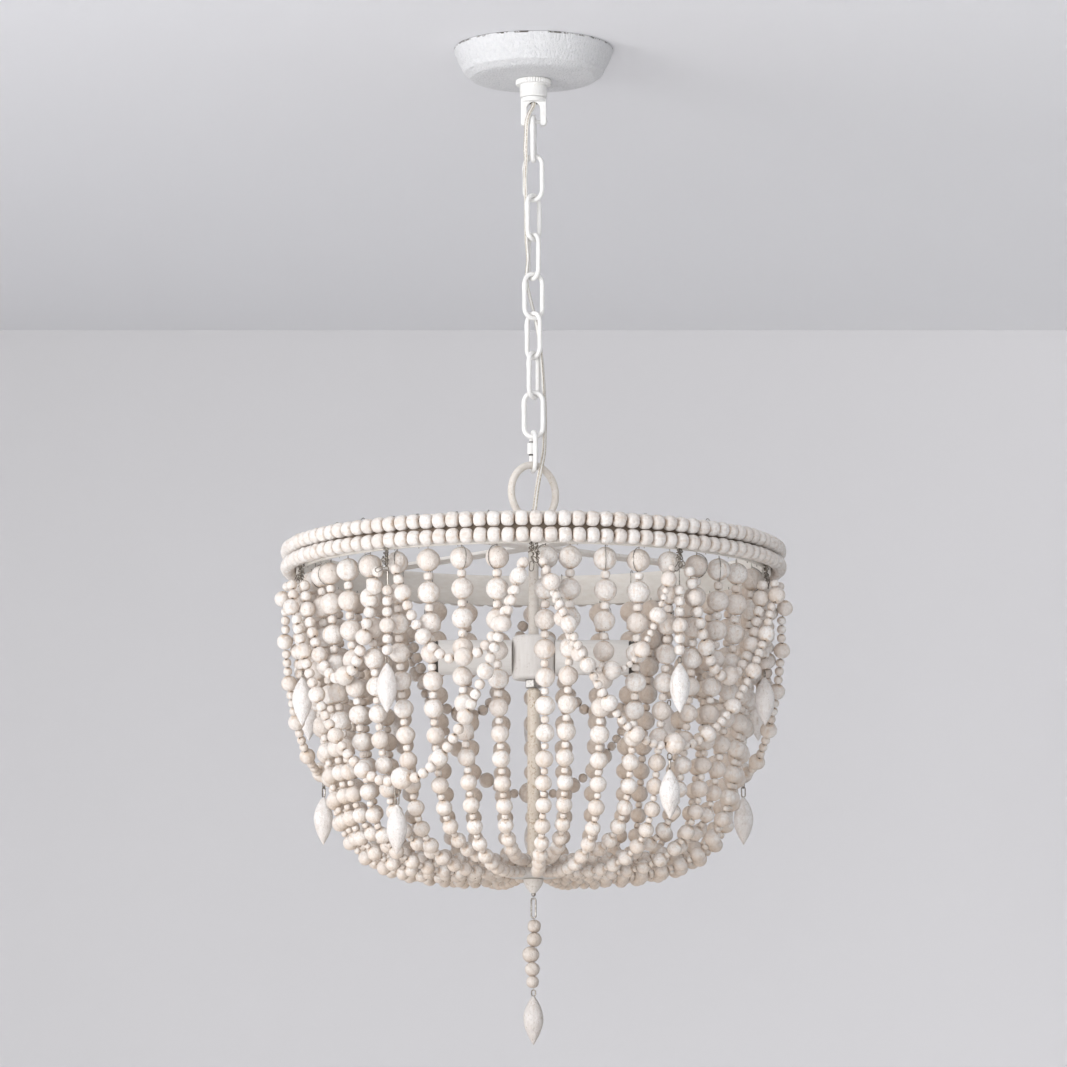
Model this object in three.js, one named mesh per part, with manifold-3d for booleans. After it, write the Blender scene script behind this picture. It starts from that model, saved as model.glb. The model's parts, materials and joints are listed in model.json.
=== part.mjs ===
// A beaded chandelier on a chain. A white ceiling canopy carries a screw collar, a loop and eight welded
// chain links. A quick link holds the eye ring of the fixture: a flat ring band edged with two rows of
// beads, forty strings of graded beads gathered on a small plate below, two rows of bead swags, and
// spindle-shaped leaf drops that swing on wire eyes. Two lamp sockets stand on a hub inside.
//
// Units are millimetres. +Z is up, -Y is the front. The origin is the middle of the canopy's top edge,
// on the ceiling, so the whole object lies below it.

import * as THREE from "three";
import { mergeVertices } from "three/addons/utils/BufferGeometryUtils.js";
import Module from "manifold-3d";

const wasm = await Module();
wasm.setup();

// Clearances
const seatGap = 0.3;
const cutOverrun = 2;

// Facets round a bead, a leaf, a wire, and turned pieces from small to large
const beadSides = 3;
const leafSides = 5;
const chainSides = 5;
const wireSides = 6;
const smallSides = 12;
const mediumSides = 16;
const largeSides = 24;
const bendSteps = 6;

// Canopy, the cover against the ceiling
const canopyRadius = 71.5;
const canopyFloorRadius = 56;
const canopyHeight = 28;
const canopyWall = 1.6;
const canopyStep = 6;
const canopyHoleRadius = 6.2;

// Mounting bar with its screws, inside the canopy
const barLength = 104;
const barWidth = 16;
const barThickness = 3;
const barScrewInset = 10;
const barScrewRadius = 2;
const barScrewLength = 12;
const barScrewHeadRadius = 4;
const barScrewHeadHeight = 2.6;

// Threaded nipple from the bar down into the loop
const nippleRadius = 5;
const nippleBoreRadius = 3.2;
const nippleEngagement = 8;

// Screw collar under the canopy
const collarFlangeRadius = 16;
const collarFlangeHeight = 5;
const collarRadius = 12.3;
const collarHeight = 16.5;
const collarBoreRadius = 9;

// Loop below the collar, with its cross pin
const loopStemRadius = 8.4;
const loopShoulderRadius = 11;
const loopShoulderHeight = 4;
const loopInnerWidth = 12;
const loopLegThickness = 5.4;
const loopLegWidth = 8;
const loopLegLength = 25.5;
const loopPinRadius = 2;
const loopPinDrop = 22;

// Welded chain links
const linkCount = 8;
const linkWire = 4.2;
const linkPitch = 36.3;
const linkWidth = 21.2;
const linkTurns = [85, -25, 52, -58, 22, -48, 62, -8];
const linkSeat = 0.4;

// Quick link with its nut
const quickWire = 4.2;
const quickLength = 39.4;
const quickWidth = 21.2;
const quickTurn = -78;
const quickNutRadius = 3.9;
const quickNutLength = 10.5;
const quickGateGap = 4.5;

// Eye ring on top of the fixture
const eyeRingDiameter = 57;
const eyeRingWire = 6.5;
const eyeRingTurn = 39;
const eyeNeckRadius = 5.5;
const eyeNeckLength = 19.5;

// Cord through the chain
const cordRadius = 1.8;
const cordBoreRadius = 2.5;
const cordSteps = 38;
const cordSides = 8;

// Ring band with its cross bars
const bandRadius = 210.7;
const bandHeight = 27.5;
const bandThickness = 3;
const crossBarWidth = 20;
const crossBarThickness = 3;
const crossHubRadius = 17;
const crossHubHeight = 5;
const crossTurn = 42;

// Rows of beads round the band
const rimBeadRadius = 7;
const rimBeadCount = 114;
const rimNeckRadius = 4.6;
const rimRowLift = [5.6, 20.1];

// Socket hub and lamp sockets
const tubeRadius = 4.5;
const tubeLength = 78;
const hubRadius = 19;
const hubHeight = 39;
const hubWall = 2;
const sleeveRadius = 15.5;
const sleeveLength = 65;
const sleeveWall = 1.2;
const sleeveDrop = 19;
const shellRadius = 13.6;
const shellWall = 0.9;
const shellDepth = 26;
const stemNutRadius = 8;
const stemNutHeight = 7;
const stemRodRadius = 5.4;

// Bead strings of the basket
const strandCount = 40;
const bayCount = 5;
const strandBeadRadius = 10;
const strandLowBeadRadius = 7.4;
const strandTipRadius = 4.2;
const strandSpacerRadius = 3.9;
const strandSpacerHeight = 7;
const strandWireRadius = 1;
const strandInset = 12.2;
const strandTopDrop = 2.2;
const strandShoulderInset = 22.5;
const strandShoulderDrop = 200;
const basketDepth = 265;
const basketCentreShare = 0.35;
const upperLayerRise = 10.5;
const tieSidestep = 10.4;
const modelledBeads = 7;
const lacingRadius = 0.9;

// Bottom plate, finial and the drop under it
const plateRadius = 27;
const plateHeight = 8;
const plateWebHeight = 3;
const finialRadius = 9;
const finialHeight = 16;
const finialTipRadius = 2.2;
const wireLinkLength = 19;
const wireLinkWidth = 5.5;
const wireRadius = 0.8;
const dropBeadRadii = [5.6, 6.3, 7.4, 6.3, 5.6];

// Leaf drops
const leafLength = 43.5;
const leafRadius = 9;
const leafEyeWidth = 5;
const leafShortEye = 7;
const leafLongEye = 15.5;

// Swags hung round the basket
const attachCount = 10;
const bigBeadRadius = 7.4;
const swagThreadRadius = 3.3;
const upperSwagSag = 90;
const lowerSwagSags = [154, 158, 164, 158, 184];
const swagStartDrop = 14;
const swagPower = 2.4;
const swagTuckPower = 2;
const swagFlatness = 0.72;
const upperSwagSpread = 8.5;
const lowerSwagSpread = 7;
const swagTieHalf = 2;
const upperSwagStandOff = 2.8;
const upperSwagTuck = 8.5;
const lowerSwagStandOff = 13.8;
const lowerSwagTuck = 27;
const upperSwagGroup = 42;
const lowerSwagGroup = 42;
const dropStringStandOff = 1.3;
const dropStringStart = 30;
const dropGroupLength = 20.5;
const dropTopBeadRadius = 5.2;
const dropMiddleBeadRadius = 7;
const dropLowBeadRadius = 6;

// Places down the axis, worked out from the sizes above
const canopyFloorZ = -canopyHeight;
const collarTopZ = canopyFloorZ - seatGap;
const loopTopZ = collarTopZ - collarHeight;
const pinZ = loopTopZ - loopPinDrop;
const linkLength = linkPitch + 2 * linkWire;
const firstLinkTopZ = pinZ + loopPinRadius + linkSeat + linkWire;
const linkStep = linkPitch - linkSeat;
const lastLinkBottomZ = firstLinkTopZ - (linkCount - 1) * linkStep - linkLength;
const quickTopZ = lastLinkBottomZ + linkWire + linkSeat + quickWire;
const quickBottomZ = quickTopZ - quickLength;
const eyeTopZ = quickBottomZ + quickWire + linkSeat + eyeRingWire;
const eyeCentreZ = eyeTopZ - eyeRingDiameter / 2;
const neckBottomZ = eyeTopZ - eyeRingDiameter - eyeNeckLength + eyeRingWire / 2;
const bandTopZ = neckBottomZ - seatGap - crossHubHeight + crossBarThickness;
const bandBottomZ = bandTopZ - bandHeight;
const tubeTopZ = bandTopZ - crossBarThickness - seatGap;
const hubTopZ = tubeTopZ - tubeLength - seatGap;
const stemNutTopZ = hubTopZ - hubHeight - seatGap;
const stemRodTopZ = stemNutTopZ - stemNutHeight - seatGap;
const plateTopZ = bandBottomZ - basketDepth + plateHeight / 2;
const finialTopZ = plateTopZ - plateHeight - seatGap;

// Radii round the axis, worked out from the band
const strandTopRadius = bandRadius - strandInset;
const strandShoulderRadius = strandTopRadius - strandShoulderInset;
const upperSwagRadius = bandRadius + upperSwagStandOff;
const lowerSwagRadius = bandRadius + lowerSwagStandOff;
const lowerSwagLowRadius = lowerSwagRadius - lowerSwagTuck;
const dropStringRadius = bandRadius + dropStringStandOff;

// The bar's screws stand in from its ends
const barScrewX = barLength / 2 - barScrewInset;

// Materials
const whitePaint = new THREE.MeshStandardMaterial({ color: 0xf1f0ee, roughness: 0.55, metalness: 0 });
const frameWood = new THREE.MeshStandardMaterial({ color: 0xe2d9cb, roughness: 0.75, metalness: 0 });
const beadWood = new THREE.MeshStandardMaterial({ color: 0xe8e1d8, roughness: 0.85, metalness: 0 });
const leafWood = new THREE.MeshStandardMaterial({ color: 0xece7e0, roughness: 0.8, metalness: 0 });
const steel = new THREE.MeshStandardMaterial({ color: 0x9c9a96, roughness: 0.35, metalness: 1 });
const sleeveCard = new THREE.MeshStandardMaterial({ color: 0xd9cdbb, roughness: 0.8, metalness: 0 });
const clearCord = new THREE.MeshStandardMaterial({ color: 0xd8d2c6, roughness: 0.3, metalness: 0 });

// Solid and mesh helpers

// The solid inside a closed surface, whichever way its faces point.
function solidOf(geometry) {
  const plain = geometry.clone();
  plain.deleteAttribute("normal");
  plain.deleteAttribute("uv");
  const merged = mergeVertices(plain, 1e-4);
  const corners = Array.from(merged.index.array);
  const faces = [];
  for (let i = 0; i < corners.length; i += 3) {
    const [a, b, c] = corners.slice(i, i + 3);
    if (a !== b && b !== c && c !== a) faces.push(a, b, c);
  }
  const vertProperties = merged.attributes.position.array;
  const make = (list) =>
    new wasm.Manifold(new wasm.Mesh({ numProp: 3, vertProperties, triVerts: new Uint32Array(list) }));
  const solid = make(faces);
  return solid.volume() > 0 ? solid : make(faces.reverse());
}

function geometryOf(solid) {
  const data = solid.getMesh();
  const geometry = new THREE.BufferGeometry();
  geometry.setAttribute("position", new THREE.BufferAttribute(new Float32Array(data.vertProperties), 3));
  geometry.setIndex(new THREE.BufferAttribute(new Uint32Array(data.triVerts), 1));
  geometry.computeVertexNormals();
  return geometry;
}

function meshOf(name, solid, material, z = 0) {
  const mesh = new THREE.Mesh(geometryOf(solid), material);
  mesh.name = name;
  mesh.position.z = z;
  return mesh;
}

// A turned piece: its profile is a list of [radius, height] and it stands on the Z axis.
function turned(profile, segments) {
  const points = profile.map(([radius, height]) => new THREE.Vector2(radius, height));
  return solidOf(new THREE.LatheGeometry(points, segments).rotateX(Math.PI / 2));
}

// A round bar from one height down to another, on the Z axis.
function roundBar(radius, top, bottom, segments) {
  return turned([[0, bottom], [radius, bottom], [radius, top], [0, top]], segments);
}

// A pipe from one height down to another, on the Z axis.
function pipe(radius, bore, top, bottom, segments) {
  const profile = [[bore, bottom], [radius, bottom], [radius, top], [bore, top], [bore, bottom]];
  return turned(profile, segments);
}

function block(width, depth, height, x, y, z) {
  return solidOf(new THREE.BoxGeometry(width, depth, height).translate(x, y, z));
}

// How far the corners of a faceted bead reach, so that it looks as wide as the round one.
const beadReach = 1 / Math.cos(Math.PI / (2 * beadSides));

// A string or wire: a row of rings along the points, each ring with its own radius. "across" gives, for
// a point, a direction that never lies along the path; the rings' first corner points that way, and
// "stretch" pulls it further out than the others.
function strung(points, radii, sides, closed, across, stretch = 1) {
  const count = points.length;
  const corners = [];
  for (let i = 0; i < count; i += 1) {
    const before = points[closed ? (i + count - 1) % count : Math.max(i - 1, 0)];
    const after = points[closed ? (i + 1) % count : Math.min(i + 1, count - 1)];
    const along = after.clone().sub(before).normalize();
    const outward = across(points[i]).clone();
    outward.addScaledVector(along, -outward.dot(along)).normalize();
    const sideways = along.clone().cross(outward);
    for (let k = 0; k < sides; k += 1) {
      const turn = (2 * Math.PI * k) / sides;
      const reach = radii[i] * (k === 0 ? stretch : 1);
      const corner = points[i].clone();
      corner.addScaledVector(outward, reach * Math.cos(turn));
      corner.addScaledVector(sideways, radii[i] * Math.sin(turn));
      corners.push(corner.x, corner.y, corner.z);
    }
  }
  const faces = [];
  const runs = closed ? count : count - 1;
  for (let i = 0; i < runs; i += 1) {
    for (let k = 0; k < sides; k += 1) {
      const a = i * sides + k;
      const b = i * sides + ((k + 1) % sides);
      const c = ((i + 1) % count) * sides + k;
      const d = ((i + 1) % count) * sides + ((k + 1) % sides);
      faces.push(a, b, d, a, d, c);
    }
  }
  if (!closed) {
    const last = (count - 1) * sides;
    for (let k = 1; k < sides - 1; k += 1) {
      faces.push(0, k + 1, k);
      faces.push(last, last + k, last + k + 1);
    }
  }
  const geometry = new THREE.BufferGeometry();
  geometry.setAttribute("position", new THREE.Float32BufferAttribute(corners, 3));
  geometry.setIndex(faces);
  return solidOf(geometry);
}

const outwardFromAxis = (point) => new THREE.Vector3(point.x, point.y, 0);
const alongY = () => new THREE.Vector3(0, 1, 0);
const alongX = () => new THREE.Vector3(1, 0, 0);
const radians = THREE.MathUtils.degToRad;

// The point at a radius, an angle round the axis (0 at the front, positive to the right) and a height.
function place(radius, angle, height) {
  return new THREE.Vector3(radius * Math.sin(angle), -radius * Math.cos(angle), height);
}

// An upright oval of wire in the XZ plane, with its top at height zero.
function ovalPoints(length, width, wire, steps) {
  const bend = (width - wire) / 2;
  const points = [];
  for (let half = 0; half < 2; half += 1) {
    const centre = half === 0 ? -width / 2 : width / 2 - length;
    for (let i = 0; i <= steps; i += 1) {
      const turn = Math.PI * (half + i / steps);
      points.push(new THREE.Vector3(bend * Math.cos(turn), 0, centre + bend * Math.sin(turn)));
    }
  }
  return points;
}

function wireOval(length, width, wire, steps, sides) {
  const points = ovalPoints(length, width, wire, steps);
  return strung(points, points.map(() => wire / 2), sides, true, alongY);
}

// Ceiling end: canopy, bar, nipple, collar, loop and pin

function canopy() {
  const floor = canopyFloorZ;
  const wall = canopyWall;
  const stepRadius = canopyFloorRadius + canopyStep;
  const profile = [
    [canopyHoleRadius, floor],
    [canopyFloorRadius, floor],
    [stepRadius, floor + canopyStep],
    [stepRadius + wall, floor + canopyStep + wall],
    [canopyRadius, -wall * 2],
    [canopyRadius, 0],
    [canopyRadius - wall, 0],
    [canopyRadius - wall, -wall * 2],
    [stepRadius - wall / 2, floor + canopyStep + wall * 2],
    [canopyFloorRadius, floor + wall],
    [canopyHoleRadius, floor + wall],
    [canopyHoleRadius, floor],
  ];
  return turned(profile, largeSides);
}

// The bar is bored for the nipple and the two screws, with running gaps round them.
function mountingBar() {
  let bar = block(barLength, barWidth, barThickness, 0, 0, -barThickness / 2);
  const low = -barThickness - cutOverrun;
  bar = bar.subtract(roundBar(nippleRadius + seatGap, cutOverrun, low, smallSides));
  for (const side of [-1, 1]) {
    const hole = roundBar(barScrewRadius + seatGap, cutOverrun, low, smallSides / 2);
    bar = bar.subtract(hole.translate([side * barScrewX, 0, 0]));
  }
  return bar;
}

function barScrew() {
  const crownShare = 0.7;
  const head = -barThickness - seatGap;
  const profile = [
    [0, head - barScrewHeadHeight],
    [barScrewHeadRadius * crownShare, head - barScrewHeadHeight],
    [barScrewHeadRadius, head - barScrewHeadHeight / 2],
    [barScrewHeadRadius, head],
    [barScrewRadius, head],
    [barScrewRadius, 0],
    [0, 0],
  ];
  return turned(profile, smallSides / 2);
}

// Knurled flange, body and bore of the screw collar.
function collar() {
  const body = -collarHeight;
  const profile = [
    [collarBoreRadius, body],
    [collarRadius - canopyWall, body],
    [collarRadius, body + canopyWall],
    [collarRadius, -collarFlangeHeight],
    [collarFlangeRadius, -collarFlangeHeight],
    [collarFlangeRadius, 0],
    [collarBoreRadius, 0],
    [collarBoreRadius, body],
  ];
  return turned(profile, mediumSides);
}

// The loop: a stem inside the collar, a shoulder, and two legs that end in rounded eyes for the pin.
function loop() {
  const stemTop = collarHeight - cutOverrun;
  const bottom = -seatGap - loopShoulderHeight;
  const bore = nippleRadius + seatGap;
  let body = pipe(loopStemRadius, bore, stemTop, bottom, smallSides);
  body = body.add(pipe(loopShoulderRadius, bore, -seatGap, bottom, smallSides));
  const legX = (loopInnerWidth + loopLegThickness) / 2;
  for (const side of [-1, 1]) {
    const straight = loopLegLength - loopLegWidth / 2 - loopShoulderHeight / 2;
    const top = -seatGap - loopShoulderHeight / 2;
    let leg = block(loopLegThickness, loopLegWidth, straight, side * legX, 0, top - straight / 2);
    const round = loopLegWidth / 2;
    const foot = new THREE.CylinderGeometry(round, round, loopLegThickness, smallSides);
    foot.rotateZ(Math.PI / 2).translate(side * legX, 0, top - straight);
    leg = leg.add(solidOf(foot));
    body = body.add(leg);
  }
  const hole = loopPinRadius + seatGap;
  const through = loopInnerWidth + 2 * (loopLegThickness + cutOverrun);
  const pinHole = new THREE.CylinderGeometry(hole, hole, through, smallSides);
  return body.subtract(solidOf(pinHole.rotateZ(Math.PI / 2).translate(0, 0, -loopPinDrop)));
}

function loopPin() {
  const length = loopInnerWidth + 2 * loopLegThickness;
  const pin = new THREE.CylinderGeometry(loopPinRadius, loopPinRadius, length, smallSides);
  return solidOf(pin.rotateZ(Math.PI / 2));
}

const ceilingEnd = new THREE.Group();
ceilingEnd.add(meshOf("canopy", canopy(), whitePaint));
ceilingEnd.add(meshOf("mounting_bar", mountingBar(), steel));
for (const [name, side] of [["bar_screw_left", -1], ["bar_screw_right", 1]]) {
  const screw = meshOf(name, barScrew(), steel);
  screw.position.x = side * barScrewX;
  ceilingEnd.add(screw);
}
const nippleBottomZ = loopTopZ - seatGap;
const nipple = pipe(nippleRadius, nippleBoreRadius, 0, nippleBottomZ, smallSides);
ceilingEnd.add(meshOf("threaded_nipple", nipple, steel));
ceilingEnd.add(meshOf("canopy_collar", collar(), whitePaint, collarTopZ));
ceilingEnd.add(meshOf("canopy_loop", loop(), whitePaint, loopTopZ));
ceilingEnd.add(meshOf("loop_pin", loopPin(), whitePaint, pinZ));

// Chain and quick link

const chain = new THREE.Group();
const linkSolid = wireOval(linkLength, linkWidth, linkWire, bendSteps, chainSides);
for (let i = 0; i < linkCount; i += 1) {
  const link = meshOf(`chain_link_${i + 1}`, linkSolid, whitePaint, firstLinkTopZ - i * linkStep);
  link.rotation.z = radians(linkTurns[i]);
  chain.add(link);
}

// The quick link is an oval with a gate on one leg, which its nut covers when it is screwed up.
function quickLink() {
  const oval = wireOval(quickLength, quickWidth, quickWire, bendSteps, chainSides);
  const legX = -(quickWidth - quickWire) / 2;
  const gateTop = -quickWidth / 2 - (quickNutLength - quickGateGap) / 2;
  const gate = block(quickWire * 2, quickWire * 2, quickGateGap, legX, 0, gateTop - quickGateGap / 2);
  return oval.subtract(gate);
}

function quickNut() {
  const bore = quickWire / 2 / Math.cos(Math.PI / wireSides) + seatGap;
  const nut = pipe(quickNutRadius, bore, 0, -quickNutLength, wireSides);
  return nut.translate([-(quickWidth - quickWire) / 2, 0, -quickWidth / 2]);
}

const quick = new THREE.Group();
quick.position.z = quickTopZ;
quick.rotation.z = radians(quickTurn);
quick.add(meshOf("quick_link", quickLink(), whitePaint));
quick.add(meshOf("quick_link_nut", quickNut(), whitePaint));
chain.add(quick);

// Eye ring: a round ring on a bored neck that takes the cord.
function eyeRing() {
  const centreRadius = (eyeRingDiameter - eyeRingWire) / 2;
  const steps = largeSides;
  const points = [];
  for (let i = 0; i < steps; i += 1) {
    const turn = (2 * Math.PI * i) / steps;
    points.push(new THREE.Vector3(centreRadius * Math.cos(turn), 0, centreRadius * Math.sin(turn)));
  }
  const ring = strung(points, points.map(() => eyeRingWire / 2), wireSides, true, alongY);
  const neckTop = -centreRadius;
  const neckBottom = -centreRadius - eyeNeckLength;
  const bore = roundBar(cordBoreRadius, neckTop + eyeRingWire, neckBottom - cutOverrun, cordSides);
  return ring.add(roundBar(eyeNeckRadius, neckTop, neckBottom, smallSides)).subtract(bore);
}

const eye = meshOf("eye_ring", eyeRing(), frameWood, eyeCentreZ);
eye.rotation.z = radians(eyeRingTurn);

// Cord route, chosen by hand: from the nipple past the pin, beside the links, through the eye to its neck
const cordRoute = [
  [0, 0, -42], [0, -1.5, -52], [-3.4, -5.6, -60], [-5.8, -7.2, -68], [-6.4, -6.2, -78],
  [-7, -4.4, -92], [-6.6, -3.2, -102], [-7.4, -3.2, -118], [-6.8, -1.2, -137], [-6.8, 0.2, -155],
  [-6.6, 0.8, -173], [-5.2, 1.4, -192], [-6.2, 2, -209], [-3, 4.6, -227], [1.4, 6.6, -244],
  [4.8, 5.4, -262], [6.8, 1.7, -280], [8.4, 3.4, -298], [9.4, 5.6, -316], [10, 5.4, -335],
  [9.6, 4.8, -354], [9.2, 2, -366], [7.8, -1.4, -376], [5.6, -3.6, -387], [3, -2.6, -402],
  [0.8, -0.8, -420], [0, 0, -430], [0, 0, -438],
].map(([x, y, z]) => new THREE.Vector3(x, y, z));

function cord() {
  const route = new THREE.CatmullRomCurve3(cordRoute);
  const section = new THREE.Shape().absarc(0, 0, cordRadius, 0, 2 * Math.PI);
  const outline = section.getSpacedPoints(cordSides).slice(0, cordSides);
  const settings = { steps: cordSteps, bevelEnabled: false, extrudePath: route };
  return solidOf(new THREE.ExtrudeGeometry(new THREE.Shape(outline), settings));
}

// Frame of the fixture: band, cross bars, rows of beads

function crossBars() {
  const inside = (bandRadius - bandThickness) * Math.cos(Math.PI / (2 * largeSides)) - seatGap;
  const middle = -crossBarThickness / 2;
  let cross = block(2 * inside, crossBarWidth, crossBarThickness, 0, 0, middle);
  cross = cross.add(block(crossBarWidth, 2 * inside, crossBarThickness, 0, 0, middle));
  const rim = roundBar(inside, cutOverrun, -crossBarThickness - cutOverrun, 2 * largeSides);
  cross = cross.intersect(rim);
  const hub = roundBar(crossHubRadius, crossHubHeight - crossBarThickness, -crossBarThickness, largeSides);
  const bore = roundBar(cordBoreRadius, crossHubHeight + cutOverrun, -crossHubHeight - cutOverrun, cordSides);
  return cross.add(hub).subtract(bore);
}

// A row of beads threaded on a hoop round the band: each bead swells from its neck to its middle. The
// faceted beads have a flat face to the band and their far corner where the round bead ends.
function beadHoop() {
  const inward = rimBeadRadius * beadReach * Math.cos(Math.PI / beadSides);
  const outward = 2 * rimBeadRadius - inward;
  const hoopRadius = bandRadius + seatGap + inward;
  const points = [];
  const radii = [];
  for (let i = 0; i < rimBeadCount; i += 1) {
    for (const part of [0, 0.5]) {
      points.push(place(hoopRadius, (2 * Math.PI * (i + part)) / rimBeadCount, 0));
      radii.push(beadReach * (part === 0 ? rimNeckRadius : rimBeadRadius));
    }
  }
  const stretch = outward / (rimBeadRadius * beadReach);
  return strung(points, radii, beadSides, true, outwardFromAxis, stretch);
}

const fixture = new THREE.Group();
fixture.add(eye);
const cross = meshOf("cross_bars", crossBars(), frameWood, bandTopZ);
cross.rotation.z = radians(crossTurn);
fixture.add(cross);
const band = pipe(bandRadius, bandRadius - bandThickness, bandHeight, 0, 2 * largeSides);
fixture.add(meshOf("ring_band", band, frameWood, bandBottomZ));
const rimBeads = beadHoop();
fixture.add(meshOf("ring_beads_lower", rimBeads, beadWood, bandBottomZ + rimRowLift[0]));
fixture.add(meshOf("ring_beads_upper", rimBeads, beadWood, bandBottomZ + rimRowLift[1]));

// Lamp sockets on the hub

function socketHub() {
  const chamfer = hubWall;
  const profile = [
    [tubeRadius + seatGap, -hubHeight],
    [hubRadius - chamfer, -hubHeight],
    [hubRadius, -hubHeight + chamfer],
    [hubRadius, -chamfer],
    [hubRadius - chamfer, 0],
    [tubeRadius + seatGap, 0],
    [tubeRadius + seatGap, -hubHeight],
  ];
  return turned(profile, mediumSides);
}

// A sleeve lies on the X axis from the hub outwards, open at its far end.
function socketSleeve() {
  const floor = sleeveWall * 2;
  const profile = [
    [0, 0],
    [sleeveRadius, 0],
    [sleeveRadius, sleeveLength],
    [sleeveRadius - sleeveWall, sleeveLength],
    [sleeveRadius - sleeveWall, floor],
    [0, floor],
  ];
  return turned(profile, smallSides).rotate([0, 90, 0]);
}

// The screw shell inside the sleeve: a cup whose threads are rolled in its wall.
function socketShell() {
  const wall = shellWall;
  const waves = 2;
  const outer = [];
  const inner = [];
  for (let i = 0; i <= 2 * waves; i += 1) {
    const height = wall * 2 + ((shellDepth - wall * 2) * i) / (2 * waves);
    const radius = shellRadius - (i % 2 ? wall : 0);
    outer.push([radius, height]);
    inner.unshift([radius - wall, height]);
  }
  const profile = [[0, 0], [shellRadius - wall, 0], ...outer, ...inner, [0, wall * 2]];
  return turned(profile, smallSides).rotate([0, 90, 0]);
}

const tube = pipe(tubeRadius, cordBoreRadius, 0, -tubeLength, smallSides);
fixture.add(meshOf("centre_tube", tube, frameWood, tubeTopZ));
const hubSolid = socketHub();
fixture.add(meshOf("socket_hub", hubSolid, frameWood, hubTopZ));
const sleeveSolid = socketSleeve();
const shellSolid = socketShell();
for (const [side, turn] of [["left", 180], ["right", 0]]) {
  const socket = new THREE.Group();
  socket.rotation.z = radians(turn);
  socket.position.z = hubTopZ - sleeveDrop;
  const sleeve = meshOf(`socket_sleeve_${side}`, sleeveSolid, sleeveCard);
  sleeve.position.x = hubRadius + seatGap;
  const shell = meshOf(`socket_shell_${side}`, shellSolid, steel);
  shell.position.x = hubRadius + seatGap + sleeveLength - shellDepth - sleeveWall;
  socket.add(sleeve, shell);
  fixture.add(socket);
}
const stemNut = pipe(stemNutRadius, stemRodRadius / 2, 0, -stemNutHeight, wireSides);
fixture.add(meshOf("stem_nut", stemNut, steel, stemNutTopZ));
const stemRod = roundBar(stemRodRadius, 0, plateTopZ + seatGap - stemRodTopZ, smallSides);
fixture.add(meshOf("stem_rod", stemRod, frameWood, stemRodTopZ));

// Bottom plate and finial

function bottomPlate() {
  const web = plateWebHeight;
  const profile = [
    [0, -plateHeight],
    [plateRadius - web, -plateHeight],
    [plateRadius, -plateHeight + web],
    [plateRadius, 0],
    [plateRadius - web, 0],
    [plateRadius - 2 * web, -web / 2],
    [stemRodRadius * 2, -web / 2],
    [stemRodRadius * 1.5, 0],
    [0, 0],
  ];
  return turned(profile, mediumSides);
}

function finial() {
  const tipShare = 0.84;
  const swellShares = [[0.62, 0.56], [1, 0.3]];
  const profile = [
    [0, -finialHeight],
    [finialTipRadius, -finialHeight],
    [finialTipRadius, -finialHeight * tipShare],
    ...swellShares.map(([wide, down]) => [finialRadius * wide, -finialHeight * down]),
    [finialRadius, 0],
    [0, 0],
  ];
  return turned(profile, smallSides);
}

fixture.add(meshOf("bottom_plate", bottomPlate(), frameWood, plateTopZ));
fixture.add(meshOf("finial", finial(), frameWood, finialTopZ));

// Basket of bead strings

// The middle line of a string: down the wall, round the shoulder, and in to the plate.
function strandLine(rise) {
  const top = new THREE.Vector2(strandTopRadius, -strandTopDrop);
  const shoulder = new THREE.Vector2(strandShoulderRadius, -strandShoulderDrop);
  const gather = new THREE.Vector2(plateRadius + seatGap + strandTipRadius, -basketDepth + rise);
  const wallShares = [[0.99, 0.42], [1.055, 0.75]];
  const floorShares = [[0.94, 0.96], [0.71, 1.003]];
  const wall = new THREE.CubicBezierCurve(
    top,
    new THREE.Vector2(top.x * wallShares[0][0], shoulder.y * wallShares[0][1]),
    new THREE.Vector2(shoulder.x * wallShares[1][0], shoulder.y * wallShares[1][1]),
    shoulder,
  );
  const floorZ = -basketDepth + rise;
  const floor = new THREE.CubicBezierCurve(
    shoulder,
    new THREE.Vector2(shoulder.x * floorShares[0][0], floorZ * floorShares[0][1]),
    new THREE.Vector2(shoulder.x * floorShares[1][0], floorZ * floorShares[1][1]),
    gather,
  );
  const line = new THREE.CurvePath();
  line.add(wall);
  line.add(floor);
  return line;
}

const outwardFromBasketCentre = (point) =>
  new THREE.Vector3(point.x, point.y, point.z + basketDepth * basketCentreShare);

// One string: its wire at the top, the graded beads with spacers between them, and the plain run of
// small beads that lies under the basket.
function strandSolid(rise, angle) {
  const line = strandLine(rise);
  const total = line.getLength();
  const stations = [[0, strandWireRadius]];
  let reached = 2 * strandWireRadius;
  for (let i = 0; i < modelledBeads; i += 1) {
    const share = i / (modelledBeads - 1);
    const bead = THREE.MathUtils.lerp(strandBeadRadius, strandLowBeadRadius, share);
    stations.push([reached + bead, bead * beadReach]);
    stations.push([reached + 2 * bead + strandSpacerHeight / 2, strandSpacerRadius]);
    reached += 2 * bead + strandSpacerHeight;
  }
  const plainShares = [0.08, 0.26, 0.45, 1];
  for (const share of plainShares) {
    const taper = THREE.MathUtils.lerp(strandLowBeadRadius, strandTipRadius, share);
    stations.push([reached + (total - reached) * share, taper]);
  }
  const points = stations.map(([length]) => {
    const spot = line.getPointAt(Math.min(length / total, 1));
    return place(spot.x, angle, spot.y);
  });
  const radii = stations.map(([, radius]) => radius);
  return strung(points, radii, beadSides, false, outwardFromBasketCentre);
}

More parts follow.
